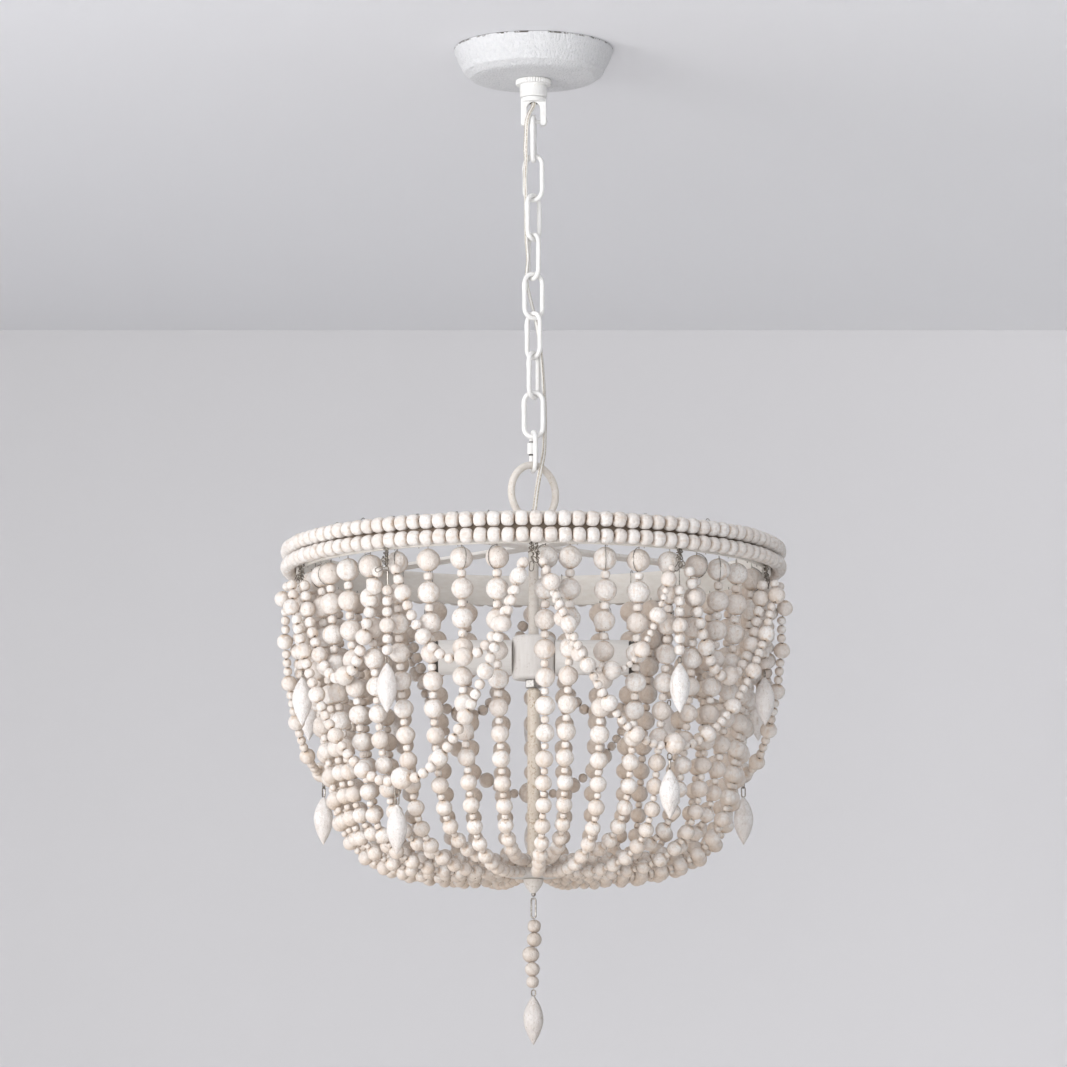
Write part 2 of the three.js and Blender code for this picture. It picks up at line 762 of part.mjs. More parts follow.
// The eight strings of a bay hang on one lacing wire under the band. The first hangs beside the tie of
// the swags, not behind it.
function bayOfStrings() {
  const perBay = strandCount / bayCount;
  const pitch = (2 * Math.PI) / strandCount;
  const angles = [];
  for (let i = 0; i < perBay; i += 1) {
    angles.push(i === 0 ? tieSidestep / strandTopRadius : i * pitch);
  }
  const lacing = angles.map((angle) => place(strandTopRadius, angle, -strandTopDrop));
  let bay = strung(lacing, lacing.map(() => lacingRadius), beadSides, false, outwardFromAxis);
  angles.forEach((angle, i) => {
    bay = bay.add(strandSolid(i % 2 ? upperLayerRise : 0, angle));
  });
  return bay;
}

const basket = new THREE.Group();
basket.position.z = bandBottomZ;
const baySolid = bayOfStrings();
for (let i = 0; i < bayCount; i += 1) {
  const bay = meshOf(`strands_bay_${i + 1}`, baySolid, beadWood);
  bay.rotation.z = (2 * Math.PI * i) / bayCount;
  basket.add(bay);
}

// Swags

// Height of a swag below its start, as a share of its sag, at a share of its span.
const swagShape = (share) => 1 - Math.abs(2 * share - 1) ** swagPower;

// One bay of a swag from one attachment to the next: its wire up to the band, then beads. The radius
// round the axis shrinks from the attachment to the lowest bead as the basket does.
function swagBay(setup, sag, start, span) {
  const spread = setup.spread / setup.radius;
  const dense = 160;
  const line = [];
  for (let i = 0; i <= dense; i += 1) {
    const share = i / dense;
    const fall = swagShape(share);
    const radius = THREE.MathUtils.lerp(setup.radius, setup.lowRadius, fall ** swagTuckPower);
    const angle = start + spread + (span - 2 * spread) * share;
    line.push(place(radius, angle, -swagStartDrop - sag * fall));
  }
  const path = new THREE.CurvePath();
  for (let i = 0; i < dense; i += 1) path.add(new THREE.LineCurve3(line[i], line[i + 1]));
  const total = path.getLength();
  const groups = Math.round(total / setup.group) | 1;
  const pitch = total / groups;
  const points = [];
  const radii = [];
  const half = bigBeadRadius / pitch;
  for (let i = 0; i < groups; i += 1) {
    const middle = (i + 0.5) / groups;
    for (const [side, radius] of [[-1, swagThreadRadius], [0, bigBeadRadius], [1, swagThreadRadius]]) {
      points.push(path.getPointAt(middle + (side * half) / groups));
      radii.push(radius * beadReach);
    }
  }
  return { points, radii, top: [line[0], line[dense]] };
}

function swagLoop(setup, bays) {
  const span = (2 * Math.PI) / bays;
  const points = [];
  const radii = [];
  for (let i = 0; i < bays; i += 1) {
    const start = i * span;
    const bay = swagBay(setup, setup.sags[i % setup.sags.length], start, span);
    for (const side of [-1, 1]) {
      points.push(place(setup.tieRadius, start + (side * swagTieHalf) / setup.tieRadius, -setup.tieDrop));
      radii.push(strandWireRadius);
    }
    points.push(bay.top[0], ...bay.points, bay.top[1]);
    radii.push(swagThreadRadius, ...bay.radii, swagThreadRadius);
  }
  return strung(points, radii, beadSides, true, outwardFromAxis, swagFlatness);
}

const upperSetup = {
  sags: [upperSwagSag],
  radius: upperSwagRadius,
  lowRadius: upperSwagRadius - upperSwagTuck,
  spread: upperSwagSpread,
  group: upperSwagGroup,
  tieRadius: bandRadius - bandThickness / 2,
  tieDrop: strandWireRadius + seatGap,
};
const lowerSetup = {
  sags: lowerSwagSags,
  radius: lowerSwagRadius,
  lowRadius: lowerSwagLowRadius,
  spread: lowerSwagSpread,
  group: lowerSwagGroup,
  tieRadius: bandRadius + strandWireRadius,
  tieDrop: 3 * strandWireRadius + seatGap,
};

// Straight bead strings hang from the upper swags' ties, each with a leaf drop at its end. The tie at
// the very front has none.
function dropString() {
  const heights = [-(strandWireRadius + seatGap), -dropStringStart];
  const radii = [strandWireRadius, strandWireRadius];
  const radiusAt = [upperSetup.tieRadius, dropStringRadius];
  let reached = dropStringStart;
  for (const bead of [dropTopBeadRadius, dropMiddleBeadRadius, dropLowBeadRadius]) {
    heights.push(-reached - dropGroupLength / 2, -reached - dropGroupLength);
    radii.push(bead * beadReach, swagThreadRadius);
    radiusAt.push(dropStringRadius, dropStringRadius);
    reached += dropGroupLength;
  }
  const points = heights.map((height, i) => new THREE.Vector3(0, -radiusAt[i], height));
  return { solid: strung(points, radii, beadSides, false, alongX), bottom: -reached };
}

const drop = dropString();
let upperSwags = swagLoop(upperSetup, attachCount);
for (let i = 1; i < attachCount; i += 1) {
  upperSwags = upperSwags.add(drop.solid.rotate([0, 0, (360 * i) / attachCount]));
}
basket.add(meshOf("upper_swags", upperSwags, beadWood));
basket.add(meshOf("lower_swags", swagLoop(lowerSetup, bayCount), beadWood));

// Leaf drops

// A spindle on a wire eye. Its origin is the top of the eye, where it swings.
function leafSolid(eyeLength) {
  const top = -eyeLength + wireRadius * 2;
  const shares = [[0, 0.16], [0.36, 1], [0.64, 0.9], [1, 0.12]];
  const profile = shares.map(([down, wide]) => [leafRadius * wide, top - leafLength * down]);
  profile.unshift([0, top]);
  profile.push([0, top - leafLength]);
  const spindle = turned(profile.reverse(), leafSides);
  const wire = wireOval(eyeLength, leafEyeWidth, 2 * wireRadius, 2, beadSides);
  return spindle.add(wire);
}

const shortLeaf = leafSolid(leafShortEye);
const longLeaf = leafSolid(leafLongEye);
function hangLeaf(name, solid, radius, angle, height) {
  const leaf = meshOf(name, solid, leafWood);
  leaf.position.copy(place(radius, angle, height));
  leaf.rotation.z = angle;
  basket.add(leaf);
}
for (let i = 1; i < attachCount; i += 1) {
  const angle = (2 * Math.PI * i) / attachCount;
  hangLeaf(`leaf_drop_${i}`, shortLeaf, dropStringRadius, angle, drop.bottom - seatGap);
}
const beadInward = bigBeadRadius * beadReach * Math.cos(Math.PI / beadSides);
const beadOutward = bigBeadRadius * beadReach * swagFlatness;
const beadUnderside = (bigBeadRadius * beadOutward) / (beadOutward + beadInward);
for (let i = 0; i < bayCount; i += 1) {
  const angle = (2 * Math.PI * (i + 0.5)) / bayCount;
  const lowestBead = -swagStartDrop - lowerSwagSags[i] - beadUnderside;
  hangLeaf(`leaf_low_${i + 1}`, longLeaf, lowerSwagLowRadius, angle, lowestBead - 2 * seatGap);
}
fixture.add(basket);

// The drop under the finial: wire link, five beads and a leaf

function bottomBeads() {
  const heights = [0];
  const radii = [wireRadius * 2];
  const stationShares = [[0.15, 0.5], [1, 1], [1.85, 0.5]];
  const pitchShare = 1.9;
  let reached = wireRadius;
  for (const bead of dropBeadRadii) {
    for (const [down, wide] of stationShares) {
      heights.push(-reached - bead * down);
      radii.push(bead * wide);
    }
    reached += bead * pitchShare;
  }
  heights.push(-reached - wireRadius);
  radii.push(wireRadius * 2);
  const points = heights.map((height) => new THREE.Vector3(0, 0, height));
  return { solid: strung(points, radii, wireSides, false, alongX), bottom: -reached - wireRadius };
}

const tail = new THREE.Group();
const wireLink = wireOval(wireLinkLength, wireLinkWidth, 2 * wireRadius, 2, beadSides);
const wireLinkZ = finialTopZ - finialHeight - seatGap;
tail.add(meshOf("finial_link", wireLink, steel, wireLinkZ));
const beads = bottomBeads();
const beadsZ = wireLinkZ - wireLinkLength - seatGap;
tail.add(meshOf("bottom_beads", beads.solid, beadWood, beadsZ));
tail.add(meshOf("bottom_leaf", shortLeaf, leafWood, beadsZ + beads.bottom - seatGap));
fixture.add(tail);

const chandelier = new THREE.Group();
chandelier.add(ceilingEnd, chain, meshOf("cord", cord(), clearCord), fixture);

export default chandelier;
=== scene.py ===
# The look of a beaded chandelier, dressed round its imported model: real beads, leaves, wires and paint.
# Units are metres, +Z is up and -Y is the front. The ceiling is at height zero.

import json
import random
from math import atan2, copysign, cos, exp, hypot, pi, radians, sin, tau
from random import uniform

import bmesh
import bpy
import numpy as np
from mathutils import Matrix, Vector


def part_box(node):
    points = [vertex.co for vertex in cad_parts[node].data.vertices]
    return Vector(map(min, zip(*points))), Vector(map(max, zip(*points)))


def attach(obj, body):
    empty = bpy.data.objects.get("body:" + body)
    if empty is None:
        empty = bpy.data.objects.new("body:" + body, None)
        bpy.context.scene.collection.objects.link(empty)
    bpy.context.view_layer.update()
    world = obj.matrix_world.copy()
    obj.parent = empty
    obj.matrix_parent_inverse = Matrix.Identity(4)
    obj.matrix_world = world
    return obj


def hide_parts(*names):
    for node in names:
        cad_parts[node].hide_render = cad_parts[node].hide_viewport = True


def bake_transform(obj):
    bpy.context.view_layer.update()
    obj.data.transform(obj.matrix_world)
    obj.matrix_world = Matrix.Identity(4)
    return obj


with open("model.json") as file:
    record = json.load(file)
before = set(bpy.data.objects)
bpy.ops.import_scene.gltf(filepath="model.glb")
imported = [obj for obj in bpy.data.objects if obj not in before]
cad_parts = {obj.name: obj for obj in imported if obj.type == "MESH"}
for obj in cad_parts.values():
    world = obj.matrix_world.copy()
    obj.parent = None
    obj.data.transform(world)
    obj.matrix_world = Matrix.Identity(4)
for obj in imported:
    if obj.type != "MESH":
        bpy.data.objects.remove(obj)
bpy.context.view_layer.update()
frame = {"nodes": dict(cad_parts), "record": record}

random.seed(41)

# Camera, at the photograph's viewing angle
camera_place = (0, -4.455, -1.074)
camera_tilt = radians(98.089)
camera_lens = 170.7

# Room: the near and far colours of each sheet, each at the left and at the right. The drift between them is
# painted light.
wall_distance = 1.405
floor_drop = 2.4
room_half = 7
ceiling_gap = 0.0003
ceiling_hole = 0.066
ceiling_near = (0.885, 0.885, 0.91), (0.96, 0.96, 0.98)
ceiling_far = (0.755, 0.755, 0.775), (0.88, 0.88, 0.895)
wall_colours = (0.585, 0.577, 0.587), (0.755, 0.745, 0.758)
floor_colours = ((0.82, 0.82, 0.82),) * 2

# Lamps: name, place, size and power. Both point at the same spot
lamps = (("key_lamp", (-2.6, -2.6, -0.35), 1.9, 101), ("fill_lamp", (-0.5, -4.3, -1.0), 2.0, 39))
lamp_target = (0, 0, -0.5)
sky_colour = (0.93, 0.94, 0.96, 1)
sky_strength = 0.62

# Facets
bead_sides = 16
small_bead_sides = 12
turned_sides = 64
link_sides = 16
fine_sides = 6

# Chain, as in the model
link_turns = (85, -25, 52, -58, 22, -48, 62, -8)
link_width = 0.0212
link_wire = 0.0042
weld_swell = 0.0004
weld_reach = 1.2
quick_turn = -78
thread_turns = 22
thread_beyond = 0.0012
thread_low, thread_high = 0.0001, 0.00035
eye_diameter = 0.057
eye_wire = 0.0065
eye_turn = 39
eye_neck = 0.0055
eye_collar = 0.0012

# Cord through the chain. Its route is in millimetres
cord_width = 0.0044
cord_lay = 0.9
cord_route = [
    (0, 0, -42), (0, -1.5, -52), (-3.4, -5.6, -60), (-5.8, -7.2, -68), (-6.4, -6.2, -78),
    (-7, -4.4, -92), (-6.6, -3.2, -102), (-7.4, -3.2, -118), (-6.8, -1.2, -137), (-6.8, 0.2, -155),
    (-6.6, 0.8, -173), (-5.2, 1.4, -192), (-6.2, 2, -209), (-3, 4.6, -227), (1.4, 6.6, -244),
    (4.8, 5.4, -262), (6.8, 1.7, -280), (8.4, 3.4, -298), (9.4, 5.6, -316), (10, 5.4, -335),
    (9.6, 4.8, -354), (9.2, 2, -366), (7.8, -1.4, -376), (5.6, -3.6, -387), (3, -2.6, -402),
    (0.8, -0.8, -420), (0, 0, -430), (0, 0, -438),
]

# Canopy and collar. The canopy's lists are (outwards, up) from its step and (inwards, down) from its rim
canopy_floor_radius = 0.056
canopy_step = 0.006
canopy_step_outline = (-0.0022, -0.0022), (0.0006, -0.0006), (0.0014, 0.0012), (0.0024, 0.0036)
canopy_rim_outline = (0.0035, 0.012), (0.0008, 0.005), (0, 0.0024), (0, 0.0004), (0.0004, 0)
canopy_wall = 0.0016
canopy_hole = 0.0062
collar_flange_radius = 0.016
collar_flange_height = 0.005
collar_radius = 0.0123
collar_edge = 0.0012
collar_neck = 0.0006
collar_bore = 0.009
collar_ribs = 40
collar_rib_share = 0.034
loop_inner_width = 0.012
loop_leg = 0.0054
loop_foot = 0.0016
loop_depth = 0.008
loop_arch_steps = 16
loop_shoulder_radius = 0.011
loop_shoulder_height = 0.004
loop_stem_radius = 0.0084
loop_stem_bore = 0.0053
# Radius of the disc of painted shade for the cord's hole
loop_bore_shade = 0.0037
pin_head_share = 1.5
pin_slot = 0.0007

# Band and rim beads
band_radius = 0.2107
band_thickness = 0.003
rim_count = 114
rim_bead_radius = 0.007
rim_row_lift = (0.0063, 0.0204)
rim_sizes = (0.955, 1.0)
rim_play = 0.0003
rim_lean = 0.1

# Sockets, stem, plate and finial
tube_radius = 0.0045
tube_bore = 0.0025
hub_radius = 0.019
hub_edge = 0.002
sleeve_radius = 0.0155
sleeve_wall = 0.0012
shell_radius = 0.0136
shell_wall = 0.0009
shell_waves = 5
shell_back = 0.002
rod_radius = 0.0054
rod_ring = 0.0014
plate_radius = 0.027
plate_well = 0.0015
finial_radius = 0.009
finial_tip = 0.0022
finial_outline = (0.42, 0.0052), (0.72, 0.0084), (0.93, 0.012)
finial_ball = 0.0021

# Bead strings of the basket, as in the model
strand_count = 40
bay_count = 5
strand_top_radius = 0.1985
strand_top_drop = 0.0022
strand_shoulder_radius = 0.176
strand_shoulder_drop = 0.2
basket_depth = 0.265
upper_layer_rise = 0.0105
tie_sidestep = 0.0104
strand_sway = 0.0024
strand_slack = 0.009
strand_first = -0.0022
strand_gather = 0.0315
strand_bead_shares = (0, 0.32, 0.52, 0.75, 1)
strand_bead_sizes = (0.0205, 0.0178, 0.0151, 0.0131, 0.0101)
strand_size_range = (0.965, 1.02)
strand_wander = 0.0005
strand_tilt = 0.06
bead_dents = 0.016
spacer_height_share = 0.34
spacer_height_range = (0.9, 1.08)
spacer_radius_share = 0.408
strand_wire = 0.0005
hook_swing = (0.3, 1.5)

# Swags and drop strings, as in the model
attach_count = 10
big_bead_radius = 0.0074
small_bead_limit = 0.006
small_bead_lean, big_bead_lean = 0.26, 0.12
swag_size_range = (0.98, 1.04)
swag_group = 0.042
small_per_group = 3
swag_start_drop = 0.014
swag_power = 2.4
swag_tuck_power = 2
upper_sags = (0.094, 0.090, 0.087, 0.092, 0.089, 0.090, 0.093, 0.088, 0.091, 0.083)
lower_sags = (0.154, 0.158, 0.164, 0.158, 0.184)
drop_radius = 0.212
drop_beads = (0.0046, 0.0047, 0.0046, 0.007, 0.0046, 0.0048)

# Leaves and wires
leaf_length = 0.0435
leaf_radius = 0.009
leaf_eye_width = 0.005
leaf_short_eye = 0.007
leaf_long_eye = 0.0155
leaf_ring = 0.0075
leaf_ring_width = 0.0062
leaf_ring_turn = 1.1
fine_wire = 0.0008
staple_rises = (0.0008, 0.0010, 0.0012, 0.0026)
tail_beads_radii = (0.0060, 0.0068, 0.0077, 0.0066, 0.0056)
tail_sways = (0.0006, 0.0006, -0.0024, -0.0010, -0.0008)
tail_link_width = 0.0055

# Twisted ties. Each range is drawn from for every strand or loop
tie_wire = 0.00042
tie_strands = 5
tie_lean = 0.003
tie_spread = 0.002
tie_length = (0.009, 0.02)
tie_half_turns = (5, 9)
tie_proud = (0.0015, 0.0045)
tie_radius = 0.0012
tie_loops = 3
tie_loop_side = 0.014
tie_loop_drop = (0.005, 0.016)
tie_loop_length = (0.005, 0.010)
tie_loop_width = (0.0035, 0.005)
tie_loop_turn = 0.7
tie_loop_tilt = 1.2


# Meshes

# What a point is multiplied by to lose its height
level = np.array([1, 1, 0])


def box_of(node):
    low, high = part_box(node)
    return Vector(low), Vector(high)


def unit(vector):
    return vector / np.linalg.norm(vector)


def jitter(reach):
    return np.array([uniform(-reach, reach) for _ in range(3)])


def spun(angle, axis="Z"):
    return Matrix.Rotation(angle, 3, axis)


def shares(steps):
    """Even steps from 0 to 1, with both ends."""
    return [i / steps for i in range(steps + 1)]


def turns(sides):
    """Even steps round the circle, from 0."""
    return [tau * k / sides for k in range(sides)]


band_low, band_high = (corner.z for corner in box_of("ring_band"))


class Form:
    """A closed shape, ready to be placed. On a bead, ends says how near its holes each point is."""

    def __init__(self, points, faces, ends=None):
        self.points = np.asarray(points, dtype=float)
        self.faces = faces
        self.ends = np.zeros(len(self.points)) if ends is None else ends


def lathe(profile, sides):
    """Turns a profile of (radius, height) round Z. It ends on the axis, or closes on itself."""
    tiny = 1e-7
    closed = profile[0] == profile[-1]
    points, rings = [], []
    for radius, height in profile[:-1] if closed else profile:
        if radius < tiny:
            rings.append([len(points)] * sides)
            points.append((0, 0, height))
            continue
        rings.append(list(range(len(points), len(points) + sides)))
        points += [(radius * cos(turn), radius * sin(turn), height) for turn in turns(sides)]
    if closed:
        rings.append(rings[0])
    faces = []
    for low, high in zip(rings, rings[1:]):
        for k in range(sides):
            n = (k + 1) % sides
            corners = [low[k], low[n], high[n], high[k]]
            face = [c for i, c in enumerate(corners) if c != corners[i - 1]]
            if len(face) > 2:
                faces.append(face)
    return Form(points, faces)


def rounded(profile, radius, steps=3):
    """The profile with its corners rounded, apart from its two ends."""
    made = [profile[0]]
    for before, corner, after in zip(profile, profile[1:], profile[2:]):
        corner = Vector(corner)
        ins, outs = Vector(before) - corner, Vector(after) - corner
        cut = min(radius, 0.45 * ins.length, 0.45 * outs.length)
        a, b = corner + ins.normalized() * cut, corner + outs.normalized() * cut
        for t in shares(steps):
            spot = a * (1 - t) ** 2 + corner * 2 * t * (1 - t) + b * t * t
            made.append((spot.x, spot.y))
    return [*made, profile[-1]]


def prism(outline, near, far, axes=(0, 1, 2)):
    """An outline carried along X, or along another axis when the three change places."""
    n = len(outline)
    points = np.array([(x, y, z) for x in (near, far) for y, z in outline])
    faces = [list(range(n)), list(range(2 * n - 1, n - 1, -1))]
    faces += [[i, i + n, (i + 1) % n + n, (i + 1) % n] for i in range(n)]
    return Form(points[:, axes], faces)


def sweep(path, radii, sides=fine_sides, closed=False, section=None, twist=0.0, travelled=0.0):
    """A wire along the points. A section gives the reach of each side as a share of the radius."""
    path = np.asarray(path, dtype=float)
    count = len(path)
    ways = np.roll(path, -1, 0) - np.roll(path, 1, 0)
    if not closed:
        ways[0], ways[-1] = path[1] - path[0], path[-1] - path[-2]
    ways /= np.linalg.norm(ways, axis=1)[:, None]
    across = unit(np.cross(ways[0], (0.3, 0.9, 0.2)))
    reaches = section or [1.0] * sides
    points = []
    for i in range(count):
        across = unit(across - ways[i] * across.dot(ways[i]))
        side = np.cross(ways[i], across)
        if i:
            travelled += float(np.linalg.norm(path[i] - path[i - 1]))
        radius = radii[i] if hasattr(radii, "__len__") else radii
        for k in range(sides):
            turn = tau * k / sides + twist * travelled
            points.append(path[i] + radius * reaches[k] * (cos(turn) * across + sin(turn) * side))
    faces = []
    shift = 0
    if closed:
        last = points[(count - 1) * sides] - path[-1]
        shift = int(np.argmax([last.dot(points[k] - path[0]) for k in range(sides)]))
    for i in range(count if closed else count - 1):
        after = (i + 1) % count
        move = shift if closed and after == 0 else 0
        for k in range(sides):
            n = (k + 1) % sides
            far = [after * sides + (m + move) % sides for m in (n, k)]
            faces.append([i * sides + k, i * sides + n, *far])
    if not closed:
        faces += [list(range(sides))[::-1], [(count - 1) * sides + k for k in range(sides)]]
    return Form(points, faces)


class Maker:
    """Gathers forms into one mesh. Each point keeps its place in its own grain, and its share of painted
    shade.
    """

    def __init__(self):
        self.points, self.grain, self.faces = [], [], []
        self.layers = {"tone": [], "inner": [], "ends": []}
        self.total = 0

    def add(self, form, centre=(0, 0, 0), turn=None, scale=1.0, stripes=None):
        local = form.points * scale
        points = local if turn is None else local @ np.asarray(turn).T
        centre = np.asarray(centre, dtype=float)
        self.points.append(points + centre)
        self.grain.append(local + np.array([random.random() for _ in range(3)]))
        shade = np.full(len(points), random.random())
        self.layers["tone"].append(shade if stripes is None else stripes)
        self.layers["inner"].append(self.inner_side_shade(points, centre))
        self.layers["ends"].append(form.ends)
        self.faces += [[self.total + c for c in face] for face in form.faces]
        self.total += len(points)

    @staticmethod
    def inner_side_shade(points, centre):
        """From 0 on the side away from the fixture's axis to 1 on the side that faces it: the painted shade
        share.
        """
        near_axis, everywhere = 0.03, 0.25
        out = centre * level
        if np.linalg.norm(out) < near_axis:
            return np.full(len(points), everywhere)
        reach = np.maximum(np.linalg.norm(points, axis=1), 1e-9)
        return 0.5 - 0.5 * (points @ unit(out)) / reach

    def finish(self, name, look, soften=35):
        mesh = bpy.data.meshes.new(name)
        mesh.from_pydata(np.concatenate(self.points).tolist(), [], self.faces)
        grain = mesh.attributes.new("grain", "FLOAT_VECTOR", "POINT")
        grain.data.foreach_set("vector", np.concatenate(self.grain).astype(np.float32).ravel())
        for label, values in self.layers.items():
            layer = mesh.attributes.new(label, "FLOAT", "POINT")
            layer.data.foreach_set("value", np.concatenate(values).astype(np.float32))
        mesh.validate()
        with_form(mesh, lambda form: bmesh.ops.recalc_face_normals(form, faces=form.faces))
        return shown(name, mesh, look, soften)


def with_form(mesh, work):
    """Does the work on the mesh in its editable form."""
    form = bmesh.new()
    form.from_mesh(mesh)
    work(form)
    form.to_mesh(mesh)
    form.free()


def shown(name, mesh, look, soften=35):
    mesh.shade_smooth()
    mesh.set_sharp_from_angle(angle=radians(soften))
    mesh.materials.append(look)
    return linked(name, mesh)


def linked(name, data):
    thing = bpy.data.objects.new(name, data)
    bpy.context.scene.collection.objects.link(thing)
    return thing


def seat(piece, body, slot, *nodes):
    """Rides the piece on its body and hides the nodes that it stands for. Its slot is not used."""
    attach(piece, body)
    if nodes:
        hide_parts(*nodes)


def single(name, form, look, body, slot, *nodes, at=(0, 0, 0), turn=None, soften=35):
    """One form as a piece of its own."""
    maker = Maker()
    maker.add(form, at, turn)
    seat(maker.finish(name, look, soften), body, slot, *nodes)


def bevelled(piece, width):
    edge = piece.modifiers.new("edges", "BEVEL")
    edge.width = width
    edge.segments = 3
    edge.limit_method = "ANGLE"
    edge.angle_limit = radians(30)
    return piece


def softened_copy(name, node, look, width, body, slot):
    """A copy of a node's mesh with its flat faces whole and its edges rounded."""
    def make_whole(form):
        bmesh.ops.remove_doubles(form, verts=form.verts, dist=1e-6)
        bmesh.ops.dissolve_limit(form, angle_limit=radians(1), verts=form.verts, edges=form.edges)

    mesh = frame["nodes"][node].data.copy()
    with_form(mesh, make_whole)
    mesh.materials.clear()
    seat(bevelled(shown(name, mesh, look), width), body, slot, node)


# Lines

class Line:
    """A path of close points, read by its length."""

    def __init__(self, points):
        self.points = np.asarray(points, dtype=float)
        steps = np.linalg.norm(np.diff(self.points, axis=0), axis=1)
        self.reached = np.concatenate([[0.0], np.cumsum(steps)])
        self.length = float(self.reached[-1])

    def at(self, length):
        return np.array([np.interp(length, self.reached, self.points[:, k]) for k in range(3)])

    def along(self, length):
        step = self.length / 200
        return unit(self.at(min(length + step, self.length)) - self.at(max(length - step, 0)))


def place(radius, angle, height):
    """The point at a radius, an angle round the axis (0 at the front, positive right) and a height."""
    return np.array([radius * sin(angle), -radius * cos(angle), height])


def tangent(angle):
    return np.array([cos(angle), sin(angle), 0.0])


def facing(way, spin=0.0):
    """The rotation that carries +Z to a direction, after a spin about Z."""
    return Vector(way).to_track_quat("Z", "Y").to_matrix() @ spun(spin)


def smooth_path(points, steps):
    """A smooth curve through the points."""
    points = [np.asarray(p, dtype=float) for p in points]
    padded = [2 * points[0] - points[1], *points, 2 * points[-1] - points[-2]]
    made = []
    for a, b, c, d in zip(padded, padded[1:], padded[2:], padded[3:]):
        for t in shares(steps)[:-1]:
            bend = (2 * a - 5 * b + 4 * c - d) * t**2 + (3 * b - a - 3 * c + d) * t**3
            made.append(0.5 * (2 * b + (c - a) * t + bend))
    return [*made, points[-1]]


def bezier(a, b, c, d, steps=60):
    a, b, c, d = (np.asarray(p, dtype=float) for p in (a, b, c, d))
    return [(1 - t) ** 3 * a + 3 * (1 - t) ** 2 * t * b + 3 * (1 - t) * t * t * c + t**3 * d
            for t in shares(steps)]


def oval_path(length, width, wire, bend_steps=14, side_steps=8):
    """An upright oval of wire in the XZ plane, with its top at height zero."""
    bend, straight = (width - wire) / 2, length - width
    points = []
    for half, way, centre in ((0, -1, -width / 2), (1, 1, width / 2 - length)):
        for share in shares(bend_steps):
            turn = pi * (half + share)
            points.append((bend * cos(turn), 0, centre + bend * sin(turn)))
        for i in range(1, side_steps):
            points.append((way * bend, 0, centre + way * straight * i / side_steps))
    return points


# Materials

class Look:
    """A material built from nodes round one shader."""

    def __init__(self, name, roughness, metallic=0.0):
        self.material = bpy.data.materials.new(name)
        self.material.use_nodes = True
        self.tree = self.material.node_tree
        self.shader = next(n for n in self.tree.nodes if n.type == "BSDF_PRINCIPLED")
        self.shader.inputs["Roughness"].default_value = roughness
        self.shader.inputs["Metallic"].default_value = metallic

    def add(self, kind, inputs=None, **settings):
        node = self.tree.nodes.new("ShaderNode" + kind)
        for key, value in settings.items():
            setattr(node, key, value)
        for key, value in (inputs or {}).items():
            self.feed(node.inputs[key], value)
        return node

    def feed(self, socket, value):
        """Gives an input its link or value. Colours are written without their alpha."""
        if isinstance(value, bpy.types.NodeSocket):
            self.tree.links.new(value, socket)
        else:
            socket.default_value = (*value, 1) if socket.type == "RGBA" else value

    def attribute(self, name, output="Fac"):
        return self.add("Attribute", attribute_name=name).outputs[output]

    def coordinate(self, kind="Object"):
        return self.add("TexCoord").outputs[kind]

    def part(self, vector, letter):
        return self.add("SeparateXYZ", {0: vector}).outputs[letter]

    def stretched(self, vector, *factors):
        return self.add("VectorMath", {0: vector, 1: factors}, operation="MULTIPLY").outputs["Vector"]

    def noise(self, vector, scale, detail=3.0, rough=0.6):
        inputs = {"Vector": vector, "Scale": scale, "Detail": detail, "Roughness": rough}
        return self.add("TexNoise", inputs).outputs["Fac"]

    def between(self, value, low, high, to_low=0.0, to_high=1.0):
        inputs = {"Value": value, 1: low, 2: high, 3: to_low, 4: to_high}
        return self.add("MapRange", inputs, clamp=True).outputs["Result"]

    def maths(self, operation, a, b=0.0):
        return self.add("Math", {0: a, 1: b}, operation=operation).outputs["Value"]

    def times(self, a, b):
        return self.maths("MULTIPLY", a, b)

    def mix(self, share, a, b):
        return self.add("Mix", {0: share, 6: a, 7: b}, data_type="RGBA").outputs[2]

    def layered(self, base, *layers):
        """The base colour with each (share, colour) laid over it in turn."""
        for share, colour in layers:
            base = self.mix(share, base, colour)
        return base

    def bump(self, height, strength, distance, under=None):
        node = self.add("Bump", {"Height": height, "Strength": strength, "Distance": distance})
        if under is not None:
            self.feed(node.inputs["Normal"], under)
        return node.outputs["Normal"]

    def done(self, colour, normal=None):
        self.feed(self.shader.inputs["Base Color"], colour)
        if normal is not None:
            self.feed(self.shader.inputs["Normal"], normal)
        return self.material


